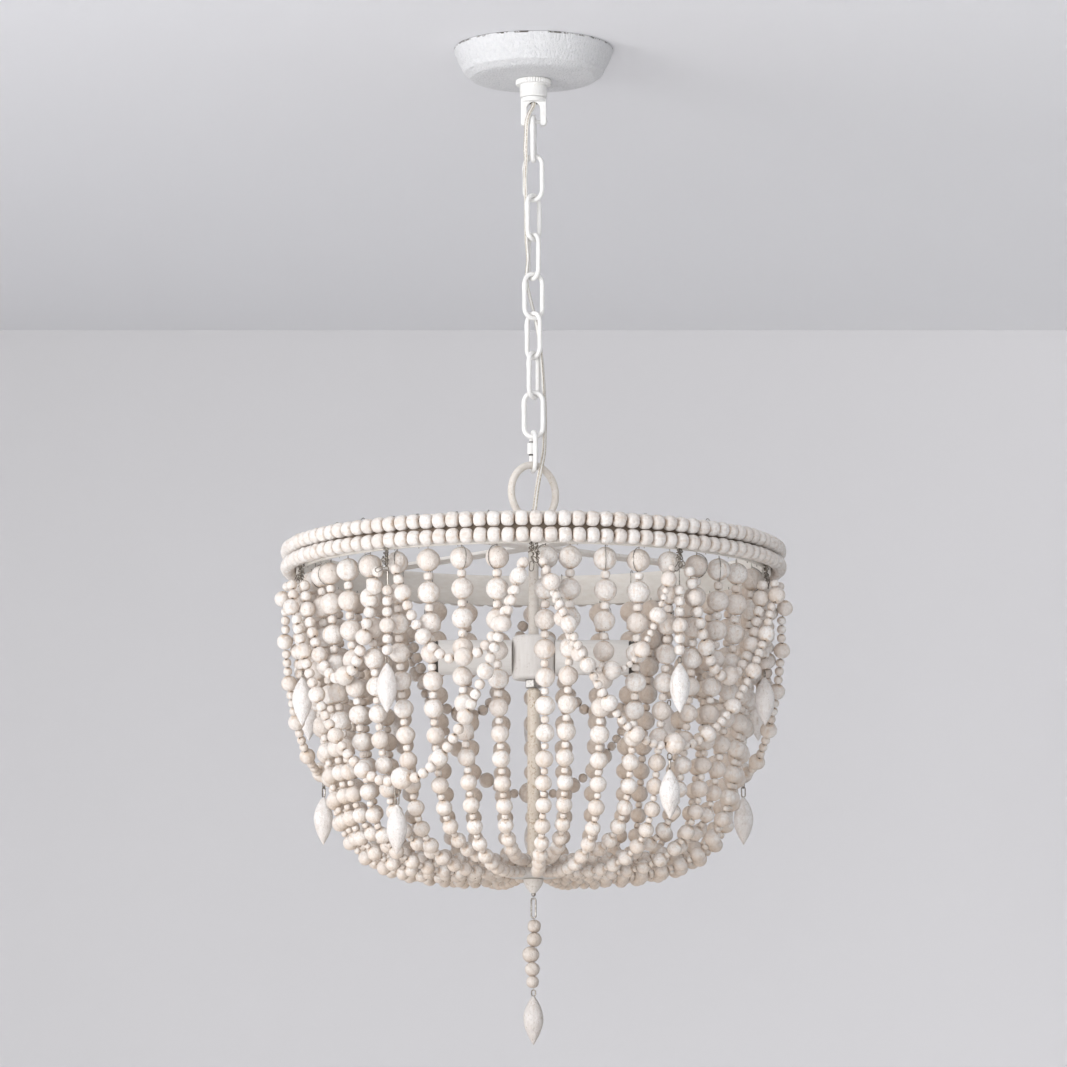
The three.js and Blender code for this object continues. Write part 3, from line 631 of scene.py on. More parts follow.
def bead_look(name, pale, warm, raw_wood_and_shade, inner_shade_share, speck_level):
    """Whitewashed wood: each bead has its own tone and its grain shows through. Painted shade browns the
    side facing the fixture's axis and the ends where beads meet, and darkens the holes and the lowest
    undersides."""
    # The share of painted shade under the lowest beads, the near-black painted shade in the holes, and the
    # specks' brown.
    underside_shade_share, hole_shade, speck_brown = 0.6, (0.10, 0.07, 0.05), (0.34, 0.25, 0.17)
    look = Look(name, 0.85)
    grain, ends = look.attribute("grain", "Vector"), look.attribute("ends")
    fibres = look.noise(look.stretched(grain, 1.0, 1.0, 0.22), 900, 4.0)
    rings = look.noise(look.stretched(grain, 1.0, 1.0, 0.12), 260, 2.0, 0.5)
    patches, dabs, grit = look.noise(grain, 150), look.noise(grain, 290), look.noise(grain, 760, 2.0)
    shade = look.between(look.attribute("tone"), 0.0, 1.0, 0.0, 0.65)
    dabbed = look.between(dabs, 0.47, 0.65, 0.0, 0.7)
    worn = look.times(look.between(rings, 0.5, 0.68), look.between(patches, 0.35, 0.65))
    # Painted shade: the side that faces the fixture's axis turns towards the raw wood colour.
    inner_shade = look.times(look.between(look.attribute("inner"), 0.42, 0.95), inner_shade_share)
    # Painted shade in the crevices: each bead's ends, where it meets the next, turn towards the raw wood
    # colour.
    end_crevice_shade = look.maths("ADD", ends, look.between(dabs, 0.3, 0.7, -0.09, 0.09))
    specks = look.between(look.noise(grain, 620, 2.0, 0.5), speck_level, speck_level + 0.05)
    # Painted shade on the undersides of the lowest beads.
    downward = look.between(look.part(look.coordinate("Normal"), "Z"), 0.0, -0.8)
    under = look.times(downward, look.between(look.part(look.coordinate(), "Z"), -0.60, -0.68))
    # Laid on in turn: tone, dabs, wear, painted shade on the axis side, at the ends and in the holes,
    # specks, painted shade under the lowest beads, and grit. Raw wood is the colour of both the wear and the
    # painted shade.
    base = look.layered(
        pale, (shade, warm), (dabbed, warm), (look.times(worn, 0.6), raw_wood_and_shade), (inner_shade, raw_wood_and_shade),
        (look.between(end_crevice_shade, 0.80, 0.98, 0.0, 0.85), raw_wood_and_shade), (look.between(ends, 1.05, 1.5), hole_shade),
        (look.times(specks, 0.55), speck_brown), (look.times(under, underside_shade_share), raw_wood_and_shade),
        (look.between(grit, 0.5, 0.7, 0.0, 0.6), warm))
    coarse = look.bump(dabs, 0.9, 0.0014)
    return look.done(base, look.bump(look.maths("ADD", fibres, grit), 0.7, 0.0006, coarse))


def paint_look(name, pale, worn, streak, wear_level, roughness=0.7):
    """Brushed paint with faint streaks, worn through in small places."""
    look = Look(name, roughness)
    spot = look.coordinate()
    brush = look.noise(look.stretched(spot, *streak), 300, 4.0)
    cloud = look.noise(spot, 60, 3.0, 0.5)
    base = look.mix(look.between(brush, 0.35, 0.75, 0.0, 0.5), pale, worn)
    wear = look.between(look.noise(spot, 420), wear_level, wear_level + 0.06)
    base = look.mix(look.times(wear, look.between(cloud, 0.4, 0.6)), base, worn)
    return look.done(base, look.bump(brush, 0.35, 0.0004, look.bump(cloud, 0.2, 0.001)))


def canopy_look():
    """Thick white brush paint, chipped to dark metal along the rim."""
    look = Look("canopy_white", 0.55)
    spot = look.coordinate()
    brush = look.noise(look.stretched(spot, 1.0, 1.0, 0.14), 480, 4.0, 0.65)
    swirls = look.noise(spot, 300, 4.0, 0.65)
    base = look.mix(look.between(swirls, 0.42, 0.7), (0.81, 0.81, 0.82), (0.745, 0.75, 0.765))
    rim = look.between(look.part(spot, "Z"), -0.0019, -0.0009)
    chips = look.between(look.noise(spot, 120, 5.0, 0.75), 0.52, 0.55)
    base = look.mix(look.times(rim, chips), base, (0.09, 0.075, 0.06))
    return look.done(base, look.bump(brush, 0.9, 0.0019, look.bump(swirls, 0.7, 0.0016)))


def band_look():
    """Cream brush paint on the faces that show, and painted shade on the outside, behind the beads."""
    look = Look("band_cream", 0.7)
    spot = look.coordinate()
    brush = look.noise(look.stretched(spot, 0.4, 0.4, 1.0), 300, 4.0)
    base = look.mix(look.between(brush, 0.35, 0.75, 0.0, 0.5), (0.82, 0.785, 0.735), (0.68, 0.62, 0.54))
    flat = look.stretched(spot, 1.0, 1.0, 0.0)
    radius = look.add("VectorMath", {0: flat}, operation="LENGTH").outputs["Value"]
    outside = look.between(radius, band_radius - 0.0006, band_radius - 0.0002)
    middle = band_low + sum(rim_row_lift) / 2
    off = look.maths("ABSOLUTE", look.maths("SUBTRACT", look.part(spot, "Z"), middle))
    # Painted shade on the outside face, behind and between the two rows of beads.
    row_gap_shade = look.times(outside, look.between(off, 0.009, 0.007))
    base = look.mix(row_gap_shade, base, (0.32, 0.25, 0.19))
    return look.done(base, look.bump(brush, 0.35, 0.0004))


def steel_look(name, colour, dark, roughness):
    look = Look(name, roughness, 1.0)
    cloud = look.noise(look.coordinate(), 500)
    base = look.mix(look.between(cloud, 0.4, 0.75), colour, dark)
    return look.done(base, look.bump(cloud, 0.15, 0.0002))


def cord_look():
    """Clear plastic over two cores of fine wire: the cores show as two twisted lines."""
    look = Look("clear_lead", 0.28)
    side = look.attribute("tone")
    lay = look.noise(look.attribute("grain", "Vector"), 900, 2.0, 0.5)
    core = look.times(look.between(side, 0.3, 0.55), look.between(side, 0.98, 0.8))
    strands = look.mix(look.between(lay, 0.4, 0.6), (0.42, 0.35, 0.27), (0.68, 0.62, 0.53))
    look.shader.inputs["Coat Weight"].default_value = 0.4
    return look.done(look.mix(core, (0.85, 0.84, 0.81), strands))


# For beads: pale, warm and raw wood, the inner side's share of painted shade, and how rare the specks are
bead_wood = bead_look(
    "bead_whitewash", (0.905, 0.88, 0.855), (0.75, 0.665, 0.60), (0.66, 0.51, 0.38), 0.6, 0.68)
rim_wood = bead_look(
    "rim_whitewash", (0.875, 0.85, 0.825), (0.77, 0.70, 0.645), (0.60, 0.47, 0.36), 0.5, 0.70)
leaf_wood = bead_look(
    "leaf_whitewash", (0.88, 0.86, 0.845), (0.77, 0.72, 0.69), (0.60, 0.50, 0.42), 0.3, 0.66)
# The tail's beads and leaf take darker copies of the bead and leaf wood, as painted shade.
shaded_tail_wood = bead_look(
    "tail_whitewash_shaded", (0.72, 0.665, 0.62), (0.60, 0.53, 0.47), (0.46, 0.36, 0.28), 0.3, 0.67)
shaded_tail_leaf_wood = bead_look(
    "tail_leaf", (0.74, 0.71, 0.69), (0.62, 0.575, 0.545), (0.46, 0.38, 0.32), 0.3, 0.64)

# For paint: fresh and worn colour, the brush's direction, and how rare the wear is
around, upright, steep = (0.4, 0.4, 1.0), (1.0, 1.0, 0.15), (1.0, 1.0, 0.1)
chain_paint = paint_look(
    "chain_white", (0.92, 0.915, 0.905), (0.78, 0.755, 0.71), (1.0, 1.0, 0.4), 0.62, 0.55)
canopy_paint = canopy_look()
band_paint = band_look()
frame_paint = paint_look("frame_cream", (0.82, 0.775, 0.72), (0.66, 0.585, 0.50), around, 0.57)
rod_paint = paint_look("rod_cream", (0.88, 0.80, 0.70), (0.62, 0.49, 0.35), steep, 0.54)
hub_paint = paint_look("hub_white", (0.92, 0.89, 0.86), (0.76, 0.71, 0.66), upright, 0.60, 0.6)
bar_paint = paint_look("bar_cream", (0.93, 0.905, 0.87), (0.78, 0.725, 0.66), around, 0.58)
# The plate and finial take a darker copy of the hub's white paint, as painted shade.
shaded_plate_paint = paint_look("plate_cream_shaded", (0.72, 0.675, 0.63), (0.52, 0.45, 0.385), upright, 0.55)
sleeve_paint = paint_look(
    "sleeve_white", (0.92, 0.895, 0.865), (0.80, 0.765, 0.72), (0.15, 1.0, 1.0), 0.64, 0.65)
steel = steel_look("plain_steel", (0.60, 0.59, 0.57), (0.36, 0.34, 0.32), 0.35)
wire_steel = steel_look("tie_wire", (0.50, 0.47, 0.43), (0.13, 0.11, 0.09), 0.34)
dark_wire = steel_look("aged_wire", (0.40, 0.36, 0.31), (0.09, 0.08, 0.07), 0.36)
shell_metal = steel_look("shell_nickel", (0.55, 0.54, 0.52), (0.25, 0.24, 0.22), 0.28)
mouth_metal = steel_look("mouth_dark", (0.16, 0.145, 0.125), (0.05, 0.045, 0.04), 0.38)
clear_lead = cord_look()
bore_shade = Look("bore_shade", 0.9).done((0.07, 0.06, 0.05))


# Ceiling end

def canopy_cover():
    low, high = box_of("canopy")
    rim, floor, wall = high.x, low.z, canopy_wall
    step, rise = canopy_floor_radius + canopy_step, floor + canopy_step
    outer = [
        (canopy_hole, floor), (canopy_floor_radius - canopy_step, floor),
        (canopy_floor_radius, floor + 0.0009), *((step + out, rise + up) for out, up in canopy_step_outline),
        *((rim - cut, -drop) for cut, drop in canopy_rim_outline),
    ]
    inner = [
        (rim - wall, 0), (rim - wall, -0.004), (step - wall, rise + 2 * wall),
        (canopy_floor_radius - wall, floor + wall), (canopy_hole, floor + wall), (canopy_hole, floor),
    ]
    form = lathe(rounded(outer, 0.0014) + rounded(inner, 0.001), 2 * turned_sides)
    single("canopy_cover", form, canopy_paint, "canopy_set", "white_paint", "canopy")


def collar_piece():
    """The collar, with its knurled flange."""
    low, high = box_of("canopy_collar")
    top, bottom, wide, edge = high.z, low.z, collar_flange_radius, collar_edge
    flange, neck = top - collar_flange_height, collar_radius - collar_neck
    profile = [
        (collar_bore, bottom), (collar_radius - edge, bottom), (collar_radius, bottom + edge),
        (collar_radius, flange - 0.0016), (neck, flange - 0.0008), (neck, flange), (wide - 0.0008, flange),
        (wide, flange + 0.0008), (wide, top - 0.001), (wide - 0.001, top), (collar_bore, top),
        (collar_bore, bottom),
    ]
    form = lathe(rounded(profile, 0.0004, 2), 2 * collar_ribs)
    x, y = form.points[:, 0], form.points[:, 1]
    ribs = 1 - collar_rib_share * (1 + np.cos(np.arctan2(y, x) * collar_ribs))
    form.points[:, :2] *= np.where(np.hypot(x, y) > wide - 0.0005, ribs, 1.0)[:, None]
    single("collar_knurled", form, chain_paint, "canopy_set", "white_paint", "canopy_collar", soften=25)


def loop_piece():
    """A fork below the collar: two legs under a round arch, on a bored stem."""
    low, high = box_of("canopy_loop")
    top = box_of("canopy_collar")[0].z - 0.0003
    inside, outside, foot = loop_inner_width / 2, loop_inner_width / 2 + loop_leg, loop_foot
    shoulder = top - loop_shoulder_height
    arch = shoulder - inside
    leg = [(outside, top - 0.001), (outside, low.z + foot), (outside - foot, low.z),
           (inside + foot / 2, low.z), (inside, low.z + foot / 2)]
    bends = [pi * (1 - share) for share in shares(loop_arch_steps)]
    outline = [(-x, z) for x, z in leg]
    outline += [(inside * cos(bend), arch + inside * sin(bend)) for bend in bends]
    outline += leg[::-1]
    maker = Maker()
    maker.add(prism(outline, -loop_depth / 2, loop_depth / 2, (1, 0, 2)))
    bore, wide, narrow = loop_stem_bore, loop_shoulder_radius, loop_stem_radius
    maker.add(lathe([(bore, shoulder), (wide, shoulder), (wide, top), (narrow, top), (narrow, high.z),
                     (bore, high.z), (bore, shoulder)], turned_sides))
    piece = bevelled(maker.finish("loop_fork", chain_paint), 0.0007)
    seat(piece, "canopy_set", "white_paint", "canopy_loop")
    # A dark disc of painted shade stands for the cord's hole in the arch.
    single("loop_bore_shade", bore_shade_disc(arch, inside, loop_bore_shade), bore_shade, "canopy_set", "white_paint")


def bore_shade_disc(arch, bend, radius):
    """A dark disc of painted shade at the mouth of the cord's hole, on the round underside of the arch."""
    rings, proud, thick = 5, 0.00012, 0.0006
    out = [radius * ring / rings for ring in range(rings + 1)]
    form = lathe([(r, -proud) for r in out] + [(r, thick) for r in reversed(out)], 24)
    form.points[:, 2] += arch + np.sqrt(bend**2 - form.points[:, 0] ** 2)
    return form


def pin_piece():
    """The cross pin, with a rounded slotted head at one end."""
    low, high = box_of("loop_pin")
    radius, middle, reach = (high.z - low.z) / 2, (low.z + high.z) / 2, high.x
    head = radius * pin_head_share
    profile = [
        (0, -reach), (radius - 0.0004, -reach), (radius, -reach + 0.0004), (radius, reach - 0.0008),
        (head, reach - 0.0006), (head, reach + 0.0002), (head * 0.8, reach + 0.0007), (0, reach + 0.0008),
    ]
    single("loop_cross_pin", lathe(rounded(profile, 0.0003, 2), 24), chain_paint, "canopy_set",
           "white_paint", "loop_pin", at=(0, 0, middle), turn=facing((1, 0, 0)))
    corners = (-1, -1), (1, -1), (1, 1), (-1, 1)
    slot = [(y * head * 0.85, middle + z * pin_slot / 2) for y, z in corners]
    single("loop_pin_slot", prism(slot, reach + 0.0002, reach + 0.00095), steel, "canopy_set", "white_paint")


def chain_pieces():
    for i, turn in enumerate(link_turns, 1):
        node = f"chain_link_{i}"
        low, high = box_of(node)
        path = oval_path(high.z - low.z, link_width, link_wire)
        weld = len(path) // 4 + 4
        radii = [link_wire / 2 + weld_swell * exp(-((k - weld) / weld_reach) ** 2) for k in range(len(path))]
        single(f"link_round_{i}", sweep(path, radii, link_sides, closed=True), chain_paint, f"link_{i}",
               "white_paint", node, at=(0, 0, high.z), turn=spun(radians(turn)))


def quick_pieces():
    low, high = box_of("quick_link")
    path = oval_path(high.z - low.z, link_width, link_wire)
    single("quick_link_round", sweep(path, link_wire / 2, link_sides, closed=True), chain_paint,
           "quick_link", "white_paint", "quick_link", at=(0, 0, high.z), turn=spun(radians(quick_turn)))
    low, high = box_of("quick_link_nut")
    reach, steps = (high.z - low.z) / 2, 2 * thread_turns
    thread = []
    for i in range(steps + 1):
        height = -reach - thread_beyond + (2 * reach + thread_beyond + thread_beyond) * i / steps
        thread.append((link_wire / 2 + (thread_high if i % 2 else thread_low), height))
    form = lathe([(0, thread[0][1]), *thread, (0, thread[-1][1])], 20)
    single("quick_thread", form, mouth_metal, "quick_link", "white_paint", at=(low + high) / 2)
    softened_copy("quick_nut_hex", "quick_link_nut", chain_paint, 0.0005, "quick_nut", "white_paint")


def eye_piece():
    low, high = box_of("eye_ring")
    radius, centre = (eye_diameter - eye_wire) / 2, high.z - eye_diameter / 2
    path = [(radius * cos(turn), 0, radius * sin(turn)) for turn in turns(turned_sides)]
    maker = Maker()
    maker.add(sweep(path, eye_wire / 2, 20, closed=True), (0, 0, centre), spun(radians(eye_turn)))
    bore, neck, collar, top = tube_bore, eye_neck, eye_neck + eye_collar, centre - radius + eye_wire * 0.45
    profile = [
        (bore, low.z), (collar, low.z), (collar, low.z + 0.002), (neck, low.z + 0.0035),
        (neck, top - 0.007), (neck - 0.0014, top), (bore, top), (bore, low.z),
    ]
    maker.add(lathe(rounded(profile, 0.0008), 40))
    seat(maker.finish("eye_round", frame_paint), "fixture", "frame_wood", "eye_ring")


def cord_pieces():
    """The cord in lengths, one across each joint of the chain, which meet end to end."""
    sides = 16
    route = np.array(smooth_path([np.array(p) / 1000 for p in cord_route], 12))
    numbers = range(1, len(link_turns) + 1)
    nodes = [*[f"chain_link_{i}" for i in numbers], "quick_link"]
    breaks = [sum(c.z for c in box_of(n)) / 2 for n in nodes]
    cuts = [0, *[int(np.argmin(abs(route[:, 2] - b))) for b in breaks], len(route) - 1]
    lobe = [abs(cos(turn)) for turn in turns(sides)]
    core = [0.48 + 0.52 * share**1.4 for share in lobe]
    passed = 0.0
    for i, (first, last) in enumerate(zip(cuts, cuts[1:])):
        path = route[first:last + 1]
        length = float(np.linalg.norm(np.diff(path, axis=0), axis=1).sum())
        form = sweep(path, cord_width / 2, sides, section=core, twist=tau / cord_lay, travelled=passed)
        maker = Maker()
        maker.add(form, stripes=np.tile(lobe, len(path)))
        piece = maker.finish(f"cord_length_{i + 1}", clear_lead, 80)
        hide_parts("cord")
        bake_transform(piece)
        passed += length


def joint_place(name):
    return next(j["pos_m"] for j in frame["record"]["behaviour"]["joints"] if j["name"] == name)


# Frame of the fixture

def band_piece():
    inside = band_radius - band_thickness
    middle = (inside, (band_low + band_high) / 2)
    profile = [middle, (inside, band_low), (band_radius, band_low), (band_radius, band_high),
               (inside, band_high), middle]
    single("band_hoop", lathe(rounded(profile, 0.0006, 2), 4 * turned_sides), band_paint, "fixture",
           "frame_wood", "ring_band")


def bead(half_length, square, rings, sides, hole):
    """A bead of radius 1 with a small hole at each end, which takes painted shade. A low "square" makes it a
    barrel.
    """
    points = []
    for step in shares(rings):
        turn = pi * (step - 0.5)
        across = max(cos(turn), 0) ** square
        if across > hole:
            points.append((across, half_length * copysign(abs(sin(turn)) ** square, turn)))
    tip = half_length * (1 - hole * hole / 2)
    form = lathe([(0, -tip * 0.72), (hole, -tip * 0.74), (hole, -tip), *points, (hole, tip),
                  (hole, tip * 0.74), (0, tip * 0.72)], sides)
    share = abs(form.points[:, 2]) / half_length
    in_hole = (np.hypot(form.points[:, 0], form.points[:, 1]) < hole * 1.01) & (share < 0.8)
    # Points inside a hole are marked 2, which the looks paint near-black as painted shade.
    form.ends = np.where(in_hole, 2.0, share)
    return form


def out_of_round(form):
    """The bead as turned by hand, a little dented."""
    a, b, c, d = (uniform(0, 6) for _ in range(4))
    x, y, z = form.points.T
    dents = np.sin(3 * x + a) * np.sin(3 * y + b) + np.sin(4 * z + c) * np.sin(4 * x - 2 * y + d)
    return Form(form.points * (1 - bead_dents * (1 + dents))[:, None], form.faces, form.ends)


round_bead = bead(0.97, 1.0, 12, bead_sides, 0.15)
small_bead = bead(0.94, 0.86, 9, small_bead_sides, 0.24)
barrel_bead = bead(0.86, 0.70, 10, bead_sides, 0.22)
spacer_bead = bead(0.84, 0.66, 8, small_bead_sides, 0.3)


def rim_rows():
    radius = band_radius + 0.0003 + rim_bead_radius
    for label, lift in zip(("lower", "upper"), rim_row_lift):
        maker = Maker()
        start = random.random() * 0.3
        for i in range(rim_count):
            angle = tau * (i + start) / rim_count
            size = rim_bead_radius * uniform(*rim_sizes)
            centre = place(radius, angle, band_low + lift + uniform(-rim_play, rim_play))
            way = tangent(angle) + jitter(rim_lean)
            maker.add(out_of_round(barrel_bead), centre, facing(way, uniform(0, 6)), size)
        seat(maker.finish(f"rim_beads_{label}", rim_wood), "fixture", "bead_wood", f"ring_beads_{label}")


# Sockets, stem, plate and finial

def turned_piece(name, node, look, profile, corner=0.0006):
    form = lathe(rounded(profile, corner), turned_sides)
    single(name, form, look, "fixture", "frame_wood", node)


def stem_pieces():
    low, high = box_of("centre_tube")
    turned_piece("tube_round", "centre_tube", frame_paint, [
        (tube_bore, low.z), (tube_radius, low.z), (tube_radius, high.z), (tube_bore, high.z),
        (tube_bore, low.z)])
    low, high = box_of("socket_hub")
    edge, bore, wide = hub_edge, tube_radius + 0.0003, hub_radius
    turned_piece("hub_round", "socket_hub", hub_paint, [
        (bore, low.z), (wide - edge, low.z), (wide, low.z + edge), (wide, high.z - edge),
        (wide - edge, high.z), (bore, high.z), (bore, low.z)], 0.0012)
    low, high = box_of("stem_rod")
    ring, wide = rod_ring, rod_radius
    turned_piece("rod_round", "stem_rod", rod_paint, [
        (0, low.z), (wide, low.z), (wide, high.z - 3 * ring), (wide + ring * 0.6, high.z - 2 * ring),
        (wide, high.z - ring), (wide - ring, high.z), (0, high.z)])
    softened_copy("stem_nut_hex", "stem_nut", steel, 0.0006, "fixture", "steel")


def plate_pieces():
    low, high = box_of("bottom_plate")
    r, well = plate_radius, high.z - plate_well
    turned_piece("plate_turned", "bottom_plate", shaded_plate_paint, [
        (0, low.z), (r - 0.009, low.z), (r - 0.003, low.z + 0.0012), (r, low.z + 0.0035),
        (r, high.z - 0.0006), (r - 0.0006, high.z), (r - 0.003, high.z), (r - 0.006, well),
        (2 * rod_radius, well), (1.5 * rod_radius, high.z), (0, high.z)], 0.001)
    low, high = box_of("finial")
    r, tip = finial_radius, finial_tip
    turned_piece("finial_turned", "finial", shaded_plate_paint, [
        (0, low.z + 0.0014), (tip * 0.7, low.z + 0.0016), (tip * 0.8, low.z + 0.003),
        *((r * share, low.z + rise) for share, rise in finial_outline),
        (r, high.z - 0.001), (r - 0.0006, high.z), (0, high.z)], 0.0012)
    rises = np.linspace(-pi / 2, pi / 2, 9)
    ball = [(finial_ball * cos(rise), low.z + tip + finial_ball * sin(rise)) for rise in rises]
    form = lathe([(0, ball[0][1]), *ball[1:-1], (0, ball[-1][1])], 16)
    single("finial_eye", form, wire_steel, "fixture", "steel")


def mouth_ring(long, turn, root, name):
    """The rolled lip of the metal shell, in two ridges, which stands out of the sleeve's mouth."""
    outer, inner = sleeve_radius - sleeve_wall - 0.0001, shell_radius - 0.0003
    ridges = ((0, -0.001), (0, 0.0004), (0.0007, 0.0012), (0.0007, 0.002), (-0.0004, 0.0029),
              (0.0005, 0.0038), (0.0005, 0.0046), (0, 0.0054))
    lip = [(outer + proud, long + out) for proud, out in ridges]
    lip = [(inner, lip[0][1]), *lip, (inner, lip[-1][1]), (inner, lip[0][1])]
    single(name, lathe(rounded(lip, 0.0003, 2), turned_sides), mouth_metal, "fixture", "steel",
           at=root, turn=turn)


def socket_pieces():
    """Sleeves lie along X, each over a screw shell with rolled threads and a centre contact."""
    r, wall, back = sleeve_radius, sleeve_wall, shell_back
    for side, way in (("left", -1), ("right", 1)):
        low, high = box_of(f"socket_sleeve_{side}")
        long, turn = high.x - low.x, facing((way, 0, 0))
        root = ((high if way < 0 else low).x, 0, (low.z + high.z) / 2)
        sleeve = [(0, 0), (r, 0), (r, long), (r - wall, long), (r - wall, 2 * wall), (0, 2 * wall)]
        single(f"sleeve_round_{side}", lathe(rounded(sleeve, 0.0004, 2), turned_sides), sleeve_paint,
               "fixture", "sleeve_card", f"socket_sleeve_{side}", at=root, turn=turn)
        low, high = box_of(f"socket_shell_{side}")
        depth, steps = high.x - low.x, 8 * shell_waves
        outer = []
        for i in range(steps + 1):
            wave = 0.5 - 0.5 * cos(tau * shell_waves * i / steps)
            outer.append((shell_radius - shell_wall * wave, back + (depth - back) * i / steps))
        inner = [(radius - shell_wall * 0.6, at) for radius, at in reversed(outer)]
        profile = [(0, 0), (shell_radius - shell_wall, 0), *outer, *inner, (0, back)]
        spot = ((high if way < 0 else low).x, 0, root[2])
        maker = Maker()
        maker.add(lathe(profile, turned_sides), spot, turn)
        mouth_ring(long, turn, root, f"mouth_ring_{side}")
        maker.add(lathe([(0, back), (0.0035, back), (0.003, 0.005), (0, 0.0055)], 24), spot, turn)
        seat(maker.finish(f"shell_rolled_{side}", shell_metal), "fixture", "steel", f"socket_shell_{side}")


# Basket

def strand_line(rise, angle):
    """The middle line of a string: down the wall, round the shoulder, slack below and in to the plate."""
    r, h, slack = strand_shoulder_radius, -strand_shoulder_drop, strand_slack
    start, shoulder, floor = (strand_top_radius, -strand_top_drop), (r, h), rise - basket_depth
    wall = bezier(start, (start[0] * 0.99, h * 0.42), (r * 1.055, h * 0.75), shoulder)
    under = bezier(shoulder, (r * 0.94, floor * 0.96 - slack / 2), (r * 0.71, floor * 1.003 - slack),
                   (strand_gather, floor))
    return Line([place(spot[0], angle, band_low + spot[1]) for spot in wall + under[1:]])


def strand_beads(line):
    """Graded beads with a spacer after each, from the top to the plate: (length, radius, is spacer)."""
    made, reached = [], strand_first
    while True:
        size = float(np.interp(reached / line.length, strand_bead_shares, strand_bead_sizes))
        size *= uniform(*strand_size_range)
        gap = size * spacer_height_share * uniform(*spacer_height_range)
        for long, radius, spacer in ((size, size / 2, False), (gap, size * spacer_radius_share / 2, True)):
            if reached + long > line.length:
                return made
            made.append((reached + long / 2, radius, spacer))
            reached += long


def wire_hook(maker, bead_centre, bead_radius, angle):
    """Fine wire from the band down over the bead's face to its lower hole, and back through it."""
    swing = random.choice((-1, 1)) * uniform(*hook_swing)
    face = cos(swing) * place(1, angle, 0) + sin(swing) * tangent(angle)
    reach, steps = bead_radius + strand_wire, 14
    path = []
    for turn in (pi * i / steps for i in range(steps + 1)):
        path.append(bead_centre + reach * (cos(turn) * np.array([0, 0, 1.0]) + sin(turn) * face))
    path.insert(0, np.array([path[0][0], path[0][1], band_low + 0.001]))
    maker.add(sweep(path, strand_wire * 0.8))


def basket_strings():
    """Every string of the basket, bay by bay. Returns the beads that swags have to lie over."""
    per_bay = strand_count // bay_count
    solid, wires = [], Maker()
    for bay in range(bay_count):
        maker = Maker()
        for i in range(bay * per_bay, (bay + 1) * per_bay):
            angle = tau * i / strand_count
            if i % per_bay == 0:
                angle += tie_sidestep / strand_top_radius
            line = strand_line(upper_layer_rise if i % 2 else 0, angle)
            phase, bow = uniform(0, 6), uniform(-0.5, 0.5)
            beads = strand_beads(line)
            for length, radius, spacer in beads:
                share = length / line.length
                sway = (bow + 0.5 * sin(9 * share + phase)) * strand_sway * sin(pi * share) ** 2
                wander = 0.0 if spacer else uniform(-strand_wander, strand_wander)
                centre = line.at(length) + (sway + wander) * tangent(angle)
                turn = facing(line.along(length) + jitter(strand_tilt), uniform(0, 6))
                maker.add(spacer_bead if spacer else out_of_round(round_bead), centre, turn, radius)
                if not spacer:
                    solid.append((centre, radius))
            wires.add(sweep([line.at(s) for s in np.linspace(strand_wire, line.length, 50)], strand_wire))
            wires.add(sweep([line.at(0.003), line.at(0) + (0, 0, 0.004)], strand_wire))
            if i % 3 != 1:
                wire_hook(wires, line.at(beads[0][0]), beads[0][1], angle)
        piece = maker.finish(f"bead_strings_{bay + 1}", bead_wood)
        seat(piece, "fixture", "bead_wood", f"strands_bay_{bay + 1}")
    seat(wires.finish("string_wires", wire_steel), "fixture", "steel")
    return solid


# Swags

class Swag:
    """Where a row of swags hangs: its sags, its radii, its spread at a tie, its number of bays, and the
    radius of its middle bead."""

    def __init__(self, sags, radius, low_radius, spread, bays, middle):
        self.sags, self.radius, self.low_radius = sags, radius, low_radius
        self.spread, self.bays, self.middle = spread, bays, middle

    def line(self, bay, steps=160):
        span, spread = tau / self.bays, self.spread / self.radius
        points = []
        for share in shares(steps):
            fall = 1 - abs(2 * share - 1) ** swag_power
            radius = self.radius + (self.low_radius - self.radius) * fall**swag_tuck_power
            angle = span * bay + spread + (span - 2 * spread) * share
            points.append(place(radius, angle, band_low - swag_start_drop - self.sags[bay] * fall))
        return Line(points)


upper_swag = Swag(upper_sags, 0.2135, 0.205, 0.0085, attach_count, 0.0085)
lower_swag = Swag(lower_sags, 0.2245, 0.1975, 0.007, bay_count, 0.0098)


def swag_sequence(length, middle):
    """(place along, radius) of each bead: groups of one big bead between small ones, with the largest
    in the middle."""
    groups = round(length / swag_group) | 1
    bigs = [big_bead_radius] * groups
    bigs[groups // 2] = middle
    small = (length - 2 * sum(bigs)) / (2 * small_per_group * groups)
    after = small_per_group // 2
    made, reached = [], 0.0
    for big in bigs:
        for radius in [*[small] * (small_per_group - after), big, *[small] * after]:
            made.append((reached + radius, radius))
            reached += 2 * radius
    return made


